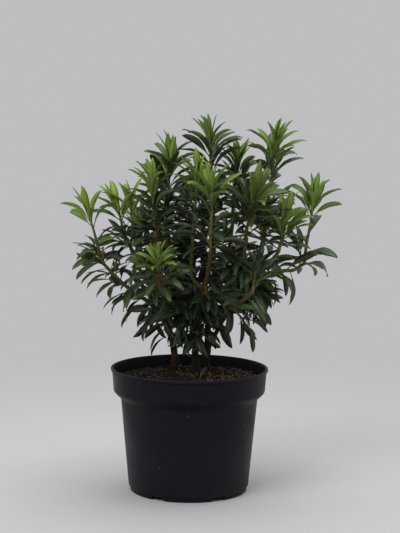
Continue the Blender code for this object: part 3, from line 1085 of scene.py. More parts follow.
@dataclass(frozen=True)
class Shoot:
    """One upright shoot: its axis and reaches, and how its leaves stand.

    freshness shifts the tones of its leaves towards the youngest, turn is where its
    first leaf points, in degrees, fork is how far apart its two tips stand, filled is
    how leafy its middle is, vigour how leafy its foot, leaf_scale its leaves' size,
    whorl how many leaves crown it, and draw picks its own run of chance.
    """

    name: str
    foot: Place
    tip: Place
    low_reach: float
    top_reach: float
    freshness: float = 0.0
    turn: float = 0.0
    fork: float = 0.0
    filled: float = 1.0
    vigour: float = 1.0
    leaf_scale: float = 1.0
    whorl: int = 10
    draw: int = 0


@dataclass(frozen=True)
class SideSpray:
    """Older leaves at the side of a limb, on a twig if it is twigged.

    aim is where its twig points, sag how far its leaves sink, in degrees, and above 0
    the spray hangs in a skirt.
    """

    name: str
    limb: str
    station: float
    aim: Place
    length: float
    reach: float
    sag: float = 0.0
    leaves: int = 17
    twigged: bool = True


LIMBS = (
    Limb("stem_main", ((8, -8), (7, -9, 172), (10, -11, 226), (20, -27, 262)), 4.4, 2.3,
         end_mass="mass_front", leafy=0.25),
    Limb("stem_left", ((-16, 16), (-21, 15, 178), (-29, 12, 206), (-35, 5, 255)), 4.2, 2.2,
         end_mass="mass_left_inner"),
    Limb("stem_back", ((18, 20), (22, 27, 176), (20, 44, 226), (15, 72, 268)), 4.2, 2.2,
         end_mass="mass_back_right_high"),
    Limb("bough_far_left", ((-49, 6, 226), (-72, 1, 243), (-90, 0, 259)), 2.6, 1.9,
         "stem_left", 0.46, "mass_far_left", 1.8),
    Limb("bough_left", ((-50, 20, 246), (-64, 18, 270)), 2.8, 2.1, "stem_left", 0.57, "mass_left"),
    Limb("bough_left_high", ((-24, 22, 262), (-28, 30, 300)), 2.8, 2.1,
         "stem_left", 0.68, "mass_left_high"),
    Limb("bough_front_left", ((-4, -26, 222), (-24, -48, 236)), 2.8, 2.1,
         "stem_main", 0.45, "mass_front_left"),
    Limb("bough_right", ((36, -14, 240), (58, -16, 251), (84, -17, 268)), 3.2, 2.6,
         "stem_main", 0.54, leafy=0.4),
    Limb("bough_right_tip", ((101, -19, 288),), 2.3, 2.0, "bough_right", 0.9, "mass_right"),
    Limb("bough_far_right", ((106, -8, 268), (124, -4, 270)), 2.3, 2.0,
         "bough_right", 0.76, "mass_far_right", 1.4),
    Limb("bough_right_inner", ((62, -20, 272), (64, -27, 298)), 2.4, 2.0,
         "bough_right", 0.5, "mass_right_inner"),
    Limb("bough_front_right", ((44, -36, 232), (62, -60, 240)), 2.5, 2.0,
         "bough_right", 0.2, "mass_front_right", 0.6),
    Limb("bough_bright_middle", ((2, -2, 262), (2, -1, 300)), 2.4, 2.0,
         "stem_main", 0.64, "mass_bright_middle", 2.3),
    Limb("bough_top", ((28, 34, 250), (28, 34, 300)), 2.8, 2.1, "stem_back", 0.3, "mass_top"),
    Limb("bough_back_of_top", ((38, 48, 250), (49, 62, 300)), 2.6, 2.1,
         "stem_back", 0.7, "mass_back_of_top"),
    Limb("bough_right_high", ((50, 26, 222), (80, 27, 272)), 2.8, 2.1,
         "stem_back", 0.2, "mass_right_high"),
    Limb("bough_back_right", ((52, 46, 226), (82, 70, 258)), 2.8, 2.1,
         "stem_back", 0.53, "mass_back_right", 0.2),
    Limb("bough_back_left", ((-44, 36, 222), (-70, 60, 258)), 2.8, 2.1,
         "stem_left", 0.3, "mass_back_left"),
    Limb("bough_back_left_high", ((-20, 54, 262), (-28, 74, 296)), 2.6, 2.1,
         "stem_back", 0.62, "mass_back_left_high"),
    Limb("bough_back_middle", ((2, 66, 206), (-18, 96, 222)), 2.6, 2.1,
         "stem_back", 0.46, "mass_back_middle"),
    Limb("bough_back_low_right", ((34, 70, 202), (48, 96, 218)), 2.6, 2.1,
         "stem_back", 0.38, "mass_back_low_right"),
)

SHOOTS = (
    Shoot("mass_far_left", (-105, 0, 275), (-135, 0, 373), 37, 34, 0.95, 10,
          filled=0.0, vigour=0.7, leaf_scale=0.88, whorl=6, draw=3),
    Shoot("mass_left", (-74, 15, 296), (-87, 20, 382), 34, 28, 0.95, 40, 14,
          filled=0.1, vigour=0.6, leaf_scale=0.98, draw=6),
    Shoot("mass_left_inner", (-42, -4, 305), (-50, 0, 406), 30, 25, 0.75, 75, whorl=11, draw=1),
    Shoot("mass_left_high", (-30, 34, 332), (-23, 37, 438), 30, 26, 0.35, 120,
          leaf_scale=1.08, whorl=12, draw=6),
    Shoot("mass_bright_middle", (4, -2, 332), (9, -4, 417), 24, 22, 0.85, 160,
          leaf_scale=1.05, draw=1),
    Shoot("mass_top", (26, 32, 345), (20, 30, 462), 32, 27, 0.35, 190,
          leaf_scale=1.04, whorl=12, draw=1),
    Shoot("mass_front", (24, -45, 296), (24, -58, 408), 42, 31, 0.6, 268,
          filled=0.45, vigour=0.6, draw=5),
    Shoot("mass_back_of_top", (52, 66, 345), (60, 68, 430), 28, 25, 0.3, 200, whorl=12, draw=5),
    Shoot("mass_right_high", (92, 28, 330), (104, 28, 455), 32, 29, 0.5, 20,
          filled=1.2, whorl=12, draw=1),
    Shoot("mass_right_inner", (66, -30, 322), (82, -38, 405), 30, 36, 0.35, 300,
          whorl=12, draw=5),
    Shoot("mass_far_right", (137, -1, 278), (151, -1, 393), 48, 31, 0.6, 5,
          filled=0.35, vigour=0.35, leaf_scale=0.95, draw=3),
    Shoot("mass_right", (107, -20, 304), (114, -26, 372), 24, 26, 1.0, 340, vigour=0.35, draw=2),
    Shoot("mass_front_left", (-35, -72, 256), (-39, -97, 316), 36, 22, 1.0, 200,
          filled=0.0, leaf_scale=0.80, whorl=12, draw=2),
    Shoot("mass_front_right", (72, -78, 252), (80, -94, 312), 34, 24, -1.1, 250,
          filled=0.3, vigour=0.1, leaf_scale=0.85),
    Shoot("mass_back_left", (-62, 76, 280), (-66, 92, 350), 36, 28, 0.3, 150,
          filled=0.2, vigour=0.5),
    Shoot("mass_back_left_high", (-32, 84, 322), (-35, 92, 412), 32, 27, 0.5, 100),
    Shoot("mass_back_right_high", (14, 92, 300), (12, 104, 396), 34, 27, 0.4, 60),
    Shoot("mass_back_right", (90, 88, 290), (96, 98, 356), 36, 28, 0.3, 30,
          filled=0.2, vigour=0.1),
    Shoot("mass_back_middle", (-28, 118, 240), (-32, 138, 316), 34, 24, 0.5, 130),
    Shoot("mass_back_low_right", (56, 116, 236), (62, 134, 306), 34, 24, 0.5, 80),
)

SIDE_SPRAYS = (
    SideSpray("skirt_left", "bough_far_left", 0.60, (-0.5, -0.35, -1), 46, 36, 1, 6, False),
    SideSpray("skirt_front_left", "bough_front_left", 0.34, (-0.05, -0.3, -1), 34, 32, 4, 6),
    SideSpray("skirt_front", "stem_main", 0.36, (0.0, -1, -0.5), 42, 28, 30, 8),
    SideSpray("skirt_front_right", "bough_front_right", 0.30, (0.35, 0.1, -1), 84, 30, 8, 3),
    SideSpray("skirt_right", "bough_right", 0.8, (0.1, 0.1, -1), 26, 32, 6, 6),
    SideSpray("skirt_back_left", "bough_back_left", 0.25, (-0.1, 0.3, -1), 36, 28, 10, 4),
    SideSpray("skirt_back", "bough_back_middle", 0.42, (0.3, 0.4, -1), 46, 32, 16, 8),
    SideSpray("skirt_back_right", "bough_back_right", 0.45, (0.5, 0.3, -1), 50, 34, 12, 6),
    SideSpray("inner_front", "stem_main", 0.68, (0.3, -1, 0.0), 46, 34, 0, 12),
    SideSpray("inner_left", "stem_left", 0.64, (0.3, -1, 0.1), 40, 32),
    SideSpray("inner_right", "bough_right_inner", 0.5, (-0.4, -1, 0.1), 44, 32),
    SideSpray("inner_back", "stem_back", 0.66, (-0.6, 1, 0.0), 44, 32),
    SideSpray("inner_middle", "bough_top", 0.55, (-0.8, -0.5, 0.0), 40, 30),
    SideSpray("inner_right_high", "bough_right_high", 0.5, (0.5, -1, 0.1), 44, 32),
    SideSpray("inner_back_right", "bough_back_of_top", 0.42, (1, 0.2, 0.1), 42, 30),
)

STEM_BARK = Bark("stem_bark", 620.0, 0.0013, 0.85, wood=(0.021, 0.0165, 0.0125), blush=0.75,
                 blush_from=0.130)
BOUGH_BARK = Bark("bough_bark", 480.0, 0.0005, 0.65, olive=(0.100, 0.086, 0.024),
                  patch=(0.070, 0.030, 0.014), rise=(0.16, 0.205, 0.240, 0.272), blush=0.4)
TWIG_BARK = Bark("green_twig_bark", 420.0, 0.0002, 0.5, rise=(0.14, 0.17, 0.24, 0.300))


class Line:
    """A smooth line through places, read by its share or by its length in metres."""

    def __init__(self, places: list[Vector], steps: int = 8) -> None:
        """Draw a Catmull-Rom curve.

        Args:
            places: The points that it goes through.
            steps: How many points each span gets.
        """
        ends = [places[0] * 2 - places[1]] + places + [places[-1] * 2 - places[-2]]
        self.points = []
        for before, start, end, after in zip(ends, ends[1:], ends[2:], ends[3:]):
            for step in range(steps):
                t = step / steps
                self.points.append(0.5 * (2 * start + (end - before) * t
                                          + (2 * before - 5 * start + 4 * end - after) * t * t
                                          + (3 * start - before - 3 * end + after) * t ** 3))
        self.points.append(places[-1].copy())
        runs = [(b - a).length for a, b in zip(self.points, self.points[1:])]
        self.distances = [0.0, *np.cumsum(runs).tolist()]
        self.length = self.distances[-1]

    def at(self, distance: float) -> tuple[Vector, Vector]:
        """Find a spot by its distance from the start.

        Args:
            distance: The distance, in metres.

        Returns:
            Its place and the line's direction there.
        """
        distance = clamp(distance, 0.0, self.length)
        index = int(np.searchsorted(self.distances, distance, side="right")) - 1
        index = min(index, len(self.points) - 2)
        run = self.points[index + 1] - self.points[index]
        share = (distance - self.distances[index]) / max(run.length, 1e-9)
        return self.points[index] + run * share, run.normalized()

    def at_station(self, station: float) -> tuple[Vector, Vector]:
        """Find a spot by its share of the line's points.

        Args:
            station: The share, from 0 to 1.

        Returns:
            Its place and the line's direction there.
        """
        where = station * (len(self.points) - 1)
        index = min(int(where), len(self.points) - 2)
        run = self.points[index + 1] - self.points[index]
        return self.points[index] + run * (where - index), run.normalized()


def side_of(along: Vector) -> Vector:
    """Return a steady direction square to a stem."""
    start = Vector((1.0, 0.0, 0.0)) if abs(along.x) < 0.9 else Vector((0.0, 1.0, 0.0))
    return (start - along * start.dot(along)).normalized()


def spoke_of(along: Vector, angle: float) -> Vector:
    """Return the direction square to a stem at an angle round it."""
    side = side_of(along)
    return side * math.cos(angle) + along.cross(side) * math.sin(angle)


@dataclass
class LimbSystem:
    """The stems and boughs, swept along their routes with the relief of their bark."""

    columns: int = 20
    ring_gap: float = 1.8
    flare: float = 0.62
    flare_height: float = 20.0
    root_ridge: float = 0.8
    collar: float = 0.30
    collar_length: float = 3.0
    ground: float = 142.8
    lines: dict = field(default_factory=dict)

    def place(self) -> None:
        """Work out each limb's line, from parent to child."""
        feet = {shoot.name: shoot.foot for shoot in SHOOTS}
        for limb in LIMBS:
            places = [Vector(place) * MM for place in limb.route if len(place) == 3]
            if limb.parent:
                start = self.lines[limb.parent].at_station(limb.station)[0]
            else:
                start = Vector((*limb.route[0], self.ground)) * MM
            places.insert(0, start)
            if limb.end_mass:
                places.append(Vector(feet[limb.end_mass]) * MM)
            self.lines[limb.name] = Line(places)

    def radius(self, limb: Limb, run: float) -> float:
        """Work out a limb's mean radius: a taper, with a flared foot or a bough's collar.

        Args:
            limb: The limb.
            run: The distance from its base.

        Returns:
            The radius.
        """
        share = run * MM / self.lines[limb.name].length
        swell = self.flare * max(0.0, 1 - run / self.flare_height) ** 1.5
        if limb.parent:
            swell = self.collar * math.exp(-max(0.0, run - limb.base_radius) / self.collar_length)
        return between((limb.base_radius, limb.tip_radius), share) * (1 + swell)

    def relief(self, limb: Limb, angle: float, run: float) -> float:
        """Work out how far the bark stands out: two sizes of lump and a leaf scar here and there.

        Args:
            limb: The limb.
            angle: The angle round it.
            run: The distance from its base.

        Returns:
            The height above the mean radius.
        """
        shift = sum(map(ord, limb.name)) % 97
        old = 0.0 if limb.parent else 1.0 + 1.1 * math.exp(-run / 26.0)
        rough = 0.0
        for spread, length, depth, more in ((1.6, 9.0, 0.14, 0.62), (5.0, 3.4, 0.06, 0.48)):
            up = run / length + shift
            spot = Vector((math.cos(angle) * spread, math.sin(angle) * spread, up))
            rough += noise.noise(spot) * (depth + more * old)
        scar_gap = 8.5 if limb.parent else 11.5
        index = round(run / scar_gap)
        off = (run - index * scar_gap) / 1.5
        turn = math.cos(angle - index * GOLDEN_TURN)
        return rough + math.exp(-off * off) * (0.10 + 0.42 * max(0.0, turn) ** 3)

    def tube(self, limb: Limb) -> Mesh:
        """Sweep one limb as a closed tube of rings, with root ridges at a stem's foot.

        Args:
            limb: The limb.

        Returns:
            The closed mesh.
        """
        line = self.lines[limb.name]
        rings = max(6, round(line.length / (self.ring_gap * MM)))
        side = side_of(line.at(0.0)[1])
        verts = []
        for ring in range(rings + 1):
            distance = line.length * ring / rings
            run = distance / MM
            place, along = line.at(distance)
            if ring == 0 and not limb.parent:
                along = UP
            side = (side - along * side.dot(along)).normalized()
            other = along.cross(side)
            foot = 0.0 if limb.parent else max(0.0, 1 - run / self.flare_height)
            for angle in spokes(self.columns):
                ridge = foot * self.root_ridge * max(0.0, math.cos(3 * angle + line.length * 90))
                out = (self.radius(limb, run) + self.relief(limb, angle, run) + ridge) * MM
                verts.append(place + (side * math.cos(angle) + other * math.sin(angle)) * out)
        return smooth_mesh(limb.name, verts, tube_faces(rings + 1, self.columns))

    def build(self) -> None:
        """Make every limb and dress it."""
        stem_bark, bough_bark = STEM_BARK.make(), BOUGH_BARK.make()
        for limb in LIMBS:
            mesh = self.tube(limb)
            mesh.materials.append(bough_bark if limb.parent else stem_bark)
            slot = "green_stem" if limb.parent else "bark"
            finish_piece(mesh_object("bark_" + limb.name, mesh), slot, limb.name)


# ------------------------------------------------------------------ leaves


BENDS = (6.0, 20.0, 34.0, 48.0, 64.0, 84.0)
FORMS = ((0.46, 12.0, 0.00), (0.70, -16.0, 0.035), (0.30, 22.0, 0.05))


@dataclass(frozen=True)
class LeafShape:
    """One shape of leaf, a metre long and a metre wide before it is scaled.

    bend is how far it arches in degrees, fold how steeply its halves rise, twist how
    far it turns over its length in degrees, and wave how much its edges ripple.
    """

    bend: float
    fold: float
    twist: float
    wave: float
    stations: tuple = (0.0, 0.08, 0.15, 0.25, 0.37, 0.51, 0.65, 0.78, 0.89, 0.96)
    slimness: float = 0.24
    rib: float = 0.045
    stalk: float = 0.10
    stalk_half: float = 0.075
    taper: Pair = (1.05, 0.84)
    thickness: float = 0.010
    spine_steps: int = 24

    def half_width(self, along: float) -> float:
        """Work out half the blade's width.

        Args:
            along: The share of the leaf's length.

        Returns:
            The half width, 0.5 at the widest place.
        """
        if along <= self.stalk:
            return self.stalk_half
        foot, tip = self.taper
        t = (along - self.stalk) / (1 - self.stalk)
        widest = 0.556
        full = widest ** foot * (1 - widest) ** tip
        return max(self.stalk_half * (1 - t), 0.5 * t ** foot * (1 - t) ** tip / full)

    def spine(self, along: float) -> tuple[float, float, float]:
        """Follow the arching midrib.

        Args:
            along: The share of the leaf's length.

        Returns:
            Its x, z and slope there.
        """
        x = z = slope = 0.0
        count = max(1, round(along * self.spine_steps))
        for step in range(count):
            slope = -math.radians(self.bend) * (((step + 0.5) / self.spine_steps) ** 1.15)
            x += math.cos(slope) * along / count
            z += math.sin(slope) * along / count
        return x, z, slope

    def section(self, along: float) -> list[Pair]:
        """Draw a section of the blade, four points on top and two below.

        Args:
            along: The share of the leaf's length.

        Returns:
            The (across, up) points.
        """
        half = self.half_width(along)
        rib = min(self.rib, 0.45 * half)
        points = []
        for across in (-half, -rib, rib, half):
            lift = self.fold * abs(across) * (1.0 - 0.30 * abs(across) / half)
            if abs(across) > rib:
                swing = 1.6 * along + math.copysign(0.25, across)
                lift += self.wave * math.sin(math.tau * swing) * half * 2
            points.append((across, lift * self.slimness))
        under = -self.thickness * (1.25 - along)
        return points + [(rib * 1.2, under), (-rib * 1.2, under)]

    def mesh(self, name: str) -> Mesh:
        """Make the closed leaf, with its sides marked and the UV map of its veins.

        Args:
            name: The mesh's name.

        Returns:
            The mesh, with the face attribute part: 0 upper, 1 midrib, 2 underside.
        """
        verts, chart = [], []
        for along in self.stations:
            x, z, slope = self.spine(along)
            turn = math.radians(self.twist) * along
            for across, lift in self.section(along):
                y = across * math.cos(turn) - lift / self.slimness * math.sin(turn)
                up = across * self.slimness * math.sin(turn) + lift * math.cos(turn)
                verts.append((x - up * math.sin(slope), y, z + up * math.cos(slope)))
                chart.append((0.5 + across, along))
        x, z, _ = self.spine(1.0)
        verts.append((x, 0.0, z))
        chart.append((0.5, 1.0))
        round_parts = [0, 1, 0, 2, 2, 2]
        rings, columns, tip = len(self.stations), len(round_parts), len(verts) - 1
        *sides, foot, end = tube_faces(rings, columns)
        point = [(end[column], end[(column + 1) % columns], tip) for column in range(columns)]
        mesh = smooth_mesh(name, verts, [*sides, *point, foot])
        parts = [1] * columns + round_parts * (rings - 1) + [1]
        mesh.attributes.new("part", "INT", "FACE").data.foreach_set("value", parts)
        veins = mesh.uv_layers.new(name="veins")
        for loop in mesh.loops:
            veins.data[loop.index].uv = chart[loop.vertex_index]
        return mesh


@dataclass(frozen=True)
class Leaf:
    """One leaf's place, frame and size in metres, arch in degrees, and tone."""

    base: Vector
    aim: Vector
    top: Vector
    length: float
    width: float
    bend: float
    tone: Tone


@dataclass(frozen=True)
class Whorl:
    """How leaves stand along a stretch of a stem, from its first leaf to its last.

    start and end are distances from the stem's foot, lean is the mean angle off the
    stem, bend the arch of a leaf and length its length; each of these runs from the
    first leaf's value to the last one's. droop turns leaves down, in degrees, and age
    runs along Tone from 0, the youngest. ease above 1 keeps more of the leaves like the
    first one. roll is how far blades turn about their own midribs, in degrees. With
    facing, leaves stand within arc degrees about that side.
    """

    start: float
    end: float
    count: int
    lean: Pair
    bend: Pair
    length: Pair
    age: Pair
    droop: float = 0.0
    slimness: float = 0.205
    turn: float = 0.0
    ease: float = 1.0
    facing: Vector | None = None
    arc: float = 150.0
    roll: float = 34.0


class Crown:
    """Grows every shoot and side spray, then turns them into leaf and twig meshes.

    shade is how far blades turn up to the light; outer_painted_light is how many tones
    younger and lighter old leaves are painted at the outside of the crown, painted light
    where they catch more light. Stems carry hanging_leaves each, that
    hang within the hanging distances from the foot, and a hanging twig hanging_twig.
    """

    seed = 2026
    shade = 0.22
    # painted light: old leaves at the outside of the crown take lighter tones
    outer_painted_light = 1.1
    lit_radii = (70.0, 130.0)
    lit_heights = (215.0, 260.0)
    hanging = (46.0, 88.0)
    hanging_leaves = 15
    hanging_twig = 6
    twig_step = 2.2
    scar_gap = 7.0
    twig_sides = 9

    def __init__(self, limbs: LimbSystem) -> None:
        """Start a crown.

        Args:
            limbs: The placed limbs.
        """
        self.limbs = limbs
        self.leaves: list[Leaf] = []
        self.twigs: list[tuple[list[Vector], list[float]]] = []
        self.nodes = [part.name for part in (*SHOOTS, *SIDE_SPRAYS)]
        self.reseed("crown")

    def reseed(self, name: str, draw: int = 0) -> None:
        """Start the run of chance that belongs to one part alone."""
        self.chance = random.Random(f"{self.seed} {name} {draw}")

    def dress(self, stem: Line, whorl: Whorl, radius: float = 1.6) -> None:
        """Set leaves round a stem.

        Args:
            stem: The stem's line.
            whorl: How the leaves stand.
            radius: The stem's radius there.
        """
        chance = self.chance
        for index in range(whorl.count):
            t = index / max(1, whorl.count - 1)
            eased = t ** whorl.ease
            distance = between((whorl.start, whorl.end), t) + chance.uniform(-0.8, 0.8)
            place, along = stem.at(distance * MM)
            angle = whorl.turn + index * GOLDEN_TURN + chance.gauss(0.0, 0.14)
            if whorl.facing:
                side = side_of(along)
                middle = math.atan2(whorl.facing.dot(along.cross(side)), whorl.facing.dot(side))
                angle = middle + math.radians(whorl.arc) * ((index * GOLDEN_SHARE) % 1.0 - 0.5)
            spoke = spoke_of(along, angle)
            bend = max(2.0, between(whorl.bend, eased) + chance.gauss(0.0, 9.0))
            lean = between(whorl.lean, eased) + chance.gauss(0.0, 6.0) - bend / 2
            lean = math.radians(max(2.0, lean))
            aim, top = self.weighed(along * math.cos(lean) + spoke * math.sin(lean),
                                    along * math.sin(lean) - spoke * math.cos(lean), whorl.droop)
            top = Quaternion(aim, math.radians(chance.gauss(0.0, whorl.roll))) @ top
            length = between(whorl.length, eased) * chance.uniform(0.88, 1.08)
            width = length * whorl.slimness * chance.uniform(0.9, 1.14)
            age = between(whorl.age, eased) + chance.gauss(0.0, 0.35)
            tone = self.tone_at(age, place.z / MM, (place + aim * length * MM).xy.length / MM)
            self.leaves.append(Leaf(place + spoke * radius * 0.7 * MM, aim, top,
                                    length * MM, width * MM, bend, tone))

    def tone_at(self, age: float, height: float, outer: float) -> Tone:
        """Choose a leaf's tone: old leaves take younger, lighter tones as painted light where they
        catch more light.

        Args:
            age: The leaf's age, as a place along Tone.
            height: Its foot's height.
            outer: How far out its tip stands.

        Returns:
            The tone.
        """
        low, high = self.lit_heights
        near, far = self.lit_radii
        # painted light: lighter tones for old leaves that stand high and far out
        if age > 2.0:
            age -= (self.outer_painted_light * clamp((height - low) / (high - low), 0.25)
                    * clamp((outer - near) / (far - near)))
        tones = [tone for tone in Tone if tone is not Tone.DRY]
        return tones[clamp(round(age), 0, len(tones) - 1)]

    def weighed(self, aim: Vector, top: Vector, droop: float) -> tuple[Vector, Vector]:
        """Let a leaf sink and turn its upper side to the light.

        Args:
            aim: The way its length points.
            top: The way its upper side faces.
            droop: How far it sinks, in degrees.

        Returns:
            The new aim and top.
        """
        down = -UP
        angle = min(math.radians(droop), max(0.0, aim.angle(down) - 0.15))
        axis = aim.cross(down)
        if axis.length > 1e-6 and angle > 0:
            turn = Quaternion(axis.normalized(), angle)
            aim, top = turn @ aim, turn @ top
        top = math.copysign(1.0, top.z) * top * (1 - self.shade) + UP * self.shade
        top = top - aim * top.dot(aim)
        if top.length < 1e-4:
            top = side_of(aim)
        return aim.normalized(), top.normalized()

    def twig(self, line: Line, start: float, end: float) -> None:
        """Keep a twig that thins along a line, with a swelling at each leaf scar.

        Args:
            line: Its line.
            start: Its radius at its foot.
            end: Its radius at its tip.
        """
        count = max(4, round(line.length / (self.twig_step * MM)))
        points, radii = [], []
        for index in range(count + 1):
            distance = line.length * index / count
            off = (distance / MM / self.scar_gap) % 1.0
            swell = 1 + 0.13 * math.exp(-((min(off, 1 - off) * self.scar_gap / 1.3) ** 2))
            points.append(line.at(distance)[0])
            radii.append(between((start, end), index / count) * swell * MM)
        points.append(points[-1] + (points[-1] - points[-2]).normalized() * 0.8 * MM)
        radii.append(0.35 * radii[-1])
        self.twigs.append((points, radii))

    def grow_shoot(self, shoot: Shoot) -> None:
        """Grow a shoot: stem, crowning funnel, upper tier, middle and foot.

        Args:
            shoot: The shoot; a forked one grows two stems.
        """
        foot, tip = Vector(shoot.foot) * MM, Vector(shoot.tip) * MM
        direction = (tip - foot).normalized()
        height = (tip - foot).length / MM
        leaf = (shoot.top_reach + 20.0) * shoot.leaf_scale
        crown = height - 0.92 * leaf
        tier = crown - 17.0
        middle = tier - 22.0
        low = 0.26 * height
        age = 2.6 - 2.3 * shoot.freshness
        thick, share, core, ring = (1.7, 0.8, 2, 4) if shoot.fork else (2.0, 1.2, 3, 7)
        for number, offset in enumerate((-0.5, 0.5) if shoot.fork else (0.0,)):
            shift = side_of(direction) * shoot.fork * offset * MM
            wobble = Vector([self.chance.uniform(-1.3, 1.3) for _ in range(3)]) * MM
            rise = direction * crown * MM
            stem = Line([foot - direction * 2.0 * MM, foot + rise * 0.3 + shift * 0.6 + wobble,
                         foot + rise * 0.7 + shift - wobble * 0.5, foot + rise + shift * 1.1])
            self.twig(stem, thick, 1.2)
            turn = math.radians(shoot.turn) + number * 2.0
            self.dress(stem, Whorl(
                crown - 12.0, crown + 1.0, round(shoot.whorl * share), (68.0, 24.0), (74.0, 44.0),
                (leaf, 0.9 * leaf), (age + 1.2, age - 0.9), slimness=0.180, turn=turn, ease=1.4))
            self.dress(stem, Whorl(
                crown, crown + 1.5, core, (16.0, 7.0), (28.0, 14.0), (0.80 * leaf, 0.90 * leaf),
                (age - 0.7, age - 1.1), slimness=0.175, turn=turn + 0.5))
            self.dress(stem, Whorl(
                max(0.35 * crown, tier - 18.0), tier, round(ring * shoot.filled), (68.0, 54.0),
                (62.0, 58.0), (0.95 * leaf, leaf), (age + 2.9, age + 1.9), turn=turn + 1.0))
            self.dress(stem, Whorl(
                low, middle, round(max(0.0, middle - low) * shoot.filled / 3.3), (84.0, 70.0),
                (60.0, 60.0), (0.95 * leaf, 0.9 * leaf), (age + 3.0, age + 2.3), turn=turn + 2.0))
            if number == 0:
                self.grow_foot(stem, shoot, 0.24 * height, turn)

    def grow_foot(self, stem: Line, shoot: Shoot, height: float, turn: float) -> None:
        """Grow the older, spreading leaves at a shoot's foot, and its side twigs.

        Args:
            stem: The shoot's stem.
            shoot: The shoot.
            height: How far up its foot reaches.
            turn: Where its first leaf points, in radians.
        """
        reach = shoot.low_reach
        self.dress(stem, Whorl(
            1.0, height, round(13 * shoot.vigour), (96.0, 78.0), (62.0, 56.0),
            (1.18 * reach, 1.1 * reach), (4.6, 3.4), droop=12.0, slimness=0.215, turn=turn + 0.7))
        length = 0.50 * reach * MM
        for number in range(round(3 * shoot.vigour)):
            base, along = stem.at((4.0 + 6.0 * number) * MM)
            spoke = spoke_of(along, turn + 1.9 + number * 2.1)
            heading = (spoke * 0.85 + UP * 0.5).normalized()
            tip = base + (heading + UP * 0.25) * length
            line = Line([base, base + heading * length * 0.5, tip])
            self.twig(line, 1.3, 0.9)
            self.dress(line, Whorl(
                0.35 * length / MM, length / MM, 7, (70.0, 34.0), (58.0, 40.0),
                (0.95 * reach, 0.85 * reach), (4.6, 2.8), droop=6.0, slimness=0.215,
                turn=turn * 2 + number), 1.0)

    def grow_side(self, spray: SideSpray) -> None:
        """Grow a side spray, which hangs in a skirt or fills the inside.

        Args:
            spray: The spray.
        """
        limb = self.limbs.lines[spray.limb]
        place, along = limb.at_station(spray.station)
        aim = Vector(spray.aim)
        aim = (aim - along * aim.dot(along)).normalized()
        outward = Vector((aim.x, aim.y, 0.0)).normalized()
        turn = self.chance.uniform(0.0, math.tau)
        length, reach = spray.length * MM, spray.reach
        if spray.sag > 0:
            bow = outward * 0.30 * length
            bends = (aim * length * 0.18 + bow * 0.6, aim * length * 0.42 + bow)
            middle = limb.length / MM * spray.station
            self.dress(limb, Whorl(
                middle - 22.0, middle + 26.0, spray.leaves, (64.0, 52.0), (54.0, 48.0),
                (1.2 * reach, 1.1 * reach), (4.6, 3.2), droop=spray.sag * 0.5, slimness=0.2,
                facing=aim * 0.5 + outward, arc=130.0), 2.4)
        else:
            bends = (aim * length * 0.4, aim * length * 0.75 + UP * length * 0.2)
        if spray.twigged:
            line = Line([place, *(place + bend for bend in bends)])
            leaves = self.hanging_twig if spray.sag > 0 else spray.leaves
            self.clothe_twig(line, spray, leaves, turn)

    def clothe_twig(self, line: Line, spray: SideSpray, leaves: int, turn: float) -> None:
        """Set leaves round a side spray's twig, and on two short twigs at its side.

        Args:
            line: The twig's line.
            spray: The spray.
            leaves: How many leaves the twig carries.
            turn: Where its first leaf points, in radians.
        """
        run, reach = line.length / MM, spray.reach
        self.twig(line, 1.7, 0.9)
        self.dress(line, Whorl(
            0.2 * run, run, leaves, (84.0, 30.0), (56.0, 44.0), (1.25 * reach, 1.1 * reach),
            (5.0, 4.0), droop=spray.sag, slimness=0.215, turn=turn), 1.3)
        for number in range(2):
            base, heading = line.at(run * (0.25 + 0.35 * number) * MM)
            spoke = spoke_of(heading, turn + 1.0 + 2.6 * number)
            way = (spoke * 0.8 + heading * 0.6 + UP * 0.1).normalized()
            short = Line([base, base + way * 0.22 * reach * MM, base + way * 0.42 * reach * MM])
            self.twig(short, 1.1, 0.8)
            self.dress(short, Whorl(
                0.12 * reach, 0.42 * reach, leaves // 2, (74.0, 32.0), (56.0, 44.0),
                (1.1 * reach, reach), (5.0, 4.0), droop=spray.sag * 0.8, slimness=0.215,
                turn=turn + number), 0.9)

    def clothe_limb(self, limb: Limb) -> None:
        """Set old leaves along the outer part of a limb, and close round a stem's foot.

        Args:
            limb: The limb.
        """
        line = self.limbs.lines[limb.name]
        run = line.length / MM
        bare = 0.52 if not limb.parent else 0.12 if limb.leafy > 1.5 else 0.35
        turn = float(len(limb.name))
        self.dress(line, Whorl(
            bare * run, run, round(run * (1 - bare) / 6.5 * limb.leafy), (92.0, 74.0),
            (58.0, 52.0), (44.0, 40.0), (5.0, 4.2), droop=10.0, slimness=0.215, turn=turn),
            limb.tip_radius)
        if not limb.parent:
            self.dress(line, Whorl(
                *self.hanging, self.hanging_leaves, (104.0, 78.0), (56.0, 50.0), (36.0, 42.0),
                (5.2, 4.4), droop=34.0, slimness=0.235, turn=turn, roll=55.0), 3.4)

    def grow(self) -> None:
        """Grow every shoot, side spray and limb's own leaves in order."""
        for shoot in SHOOTS:
            self.reseed(shoot.name, shoot.draw)
            self.grow_shoot(shoot)
        for parts, method in ((SIDE_SPRAYS, self.grow_side), (LIMBS, self.clothe_limb)):
            for part in parts:
                self.reseed(part.name)
                method(part)
        log.info("%d leaves on %d twigs", len(self.leaves), len(self.twigs))

    def shapes(self) -> bpy.types.Collection:
        """Make the leaf shapes, each bend in each form.

        Returns:
            A collection of them.
        """
        group = bpy.data.collections.new("leaf_shapes")
        forms = [(bend, *form) for bend in BENDS for form in FORMS]
        for index, form in enumerate(forms):
            mesh = LeafShape(*form).mesh(f"leaf_shape_{index:02d}")
            group.objects.link(bpy.data.objects.new(mesh.name, mesh))
        return group

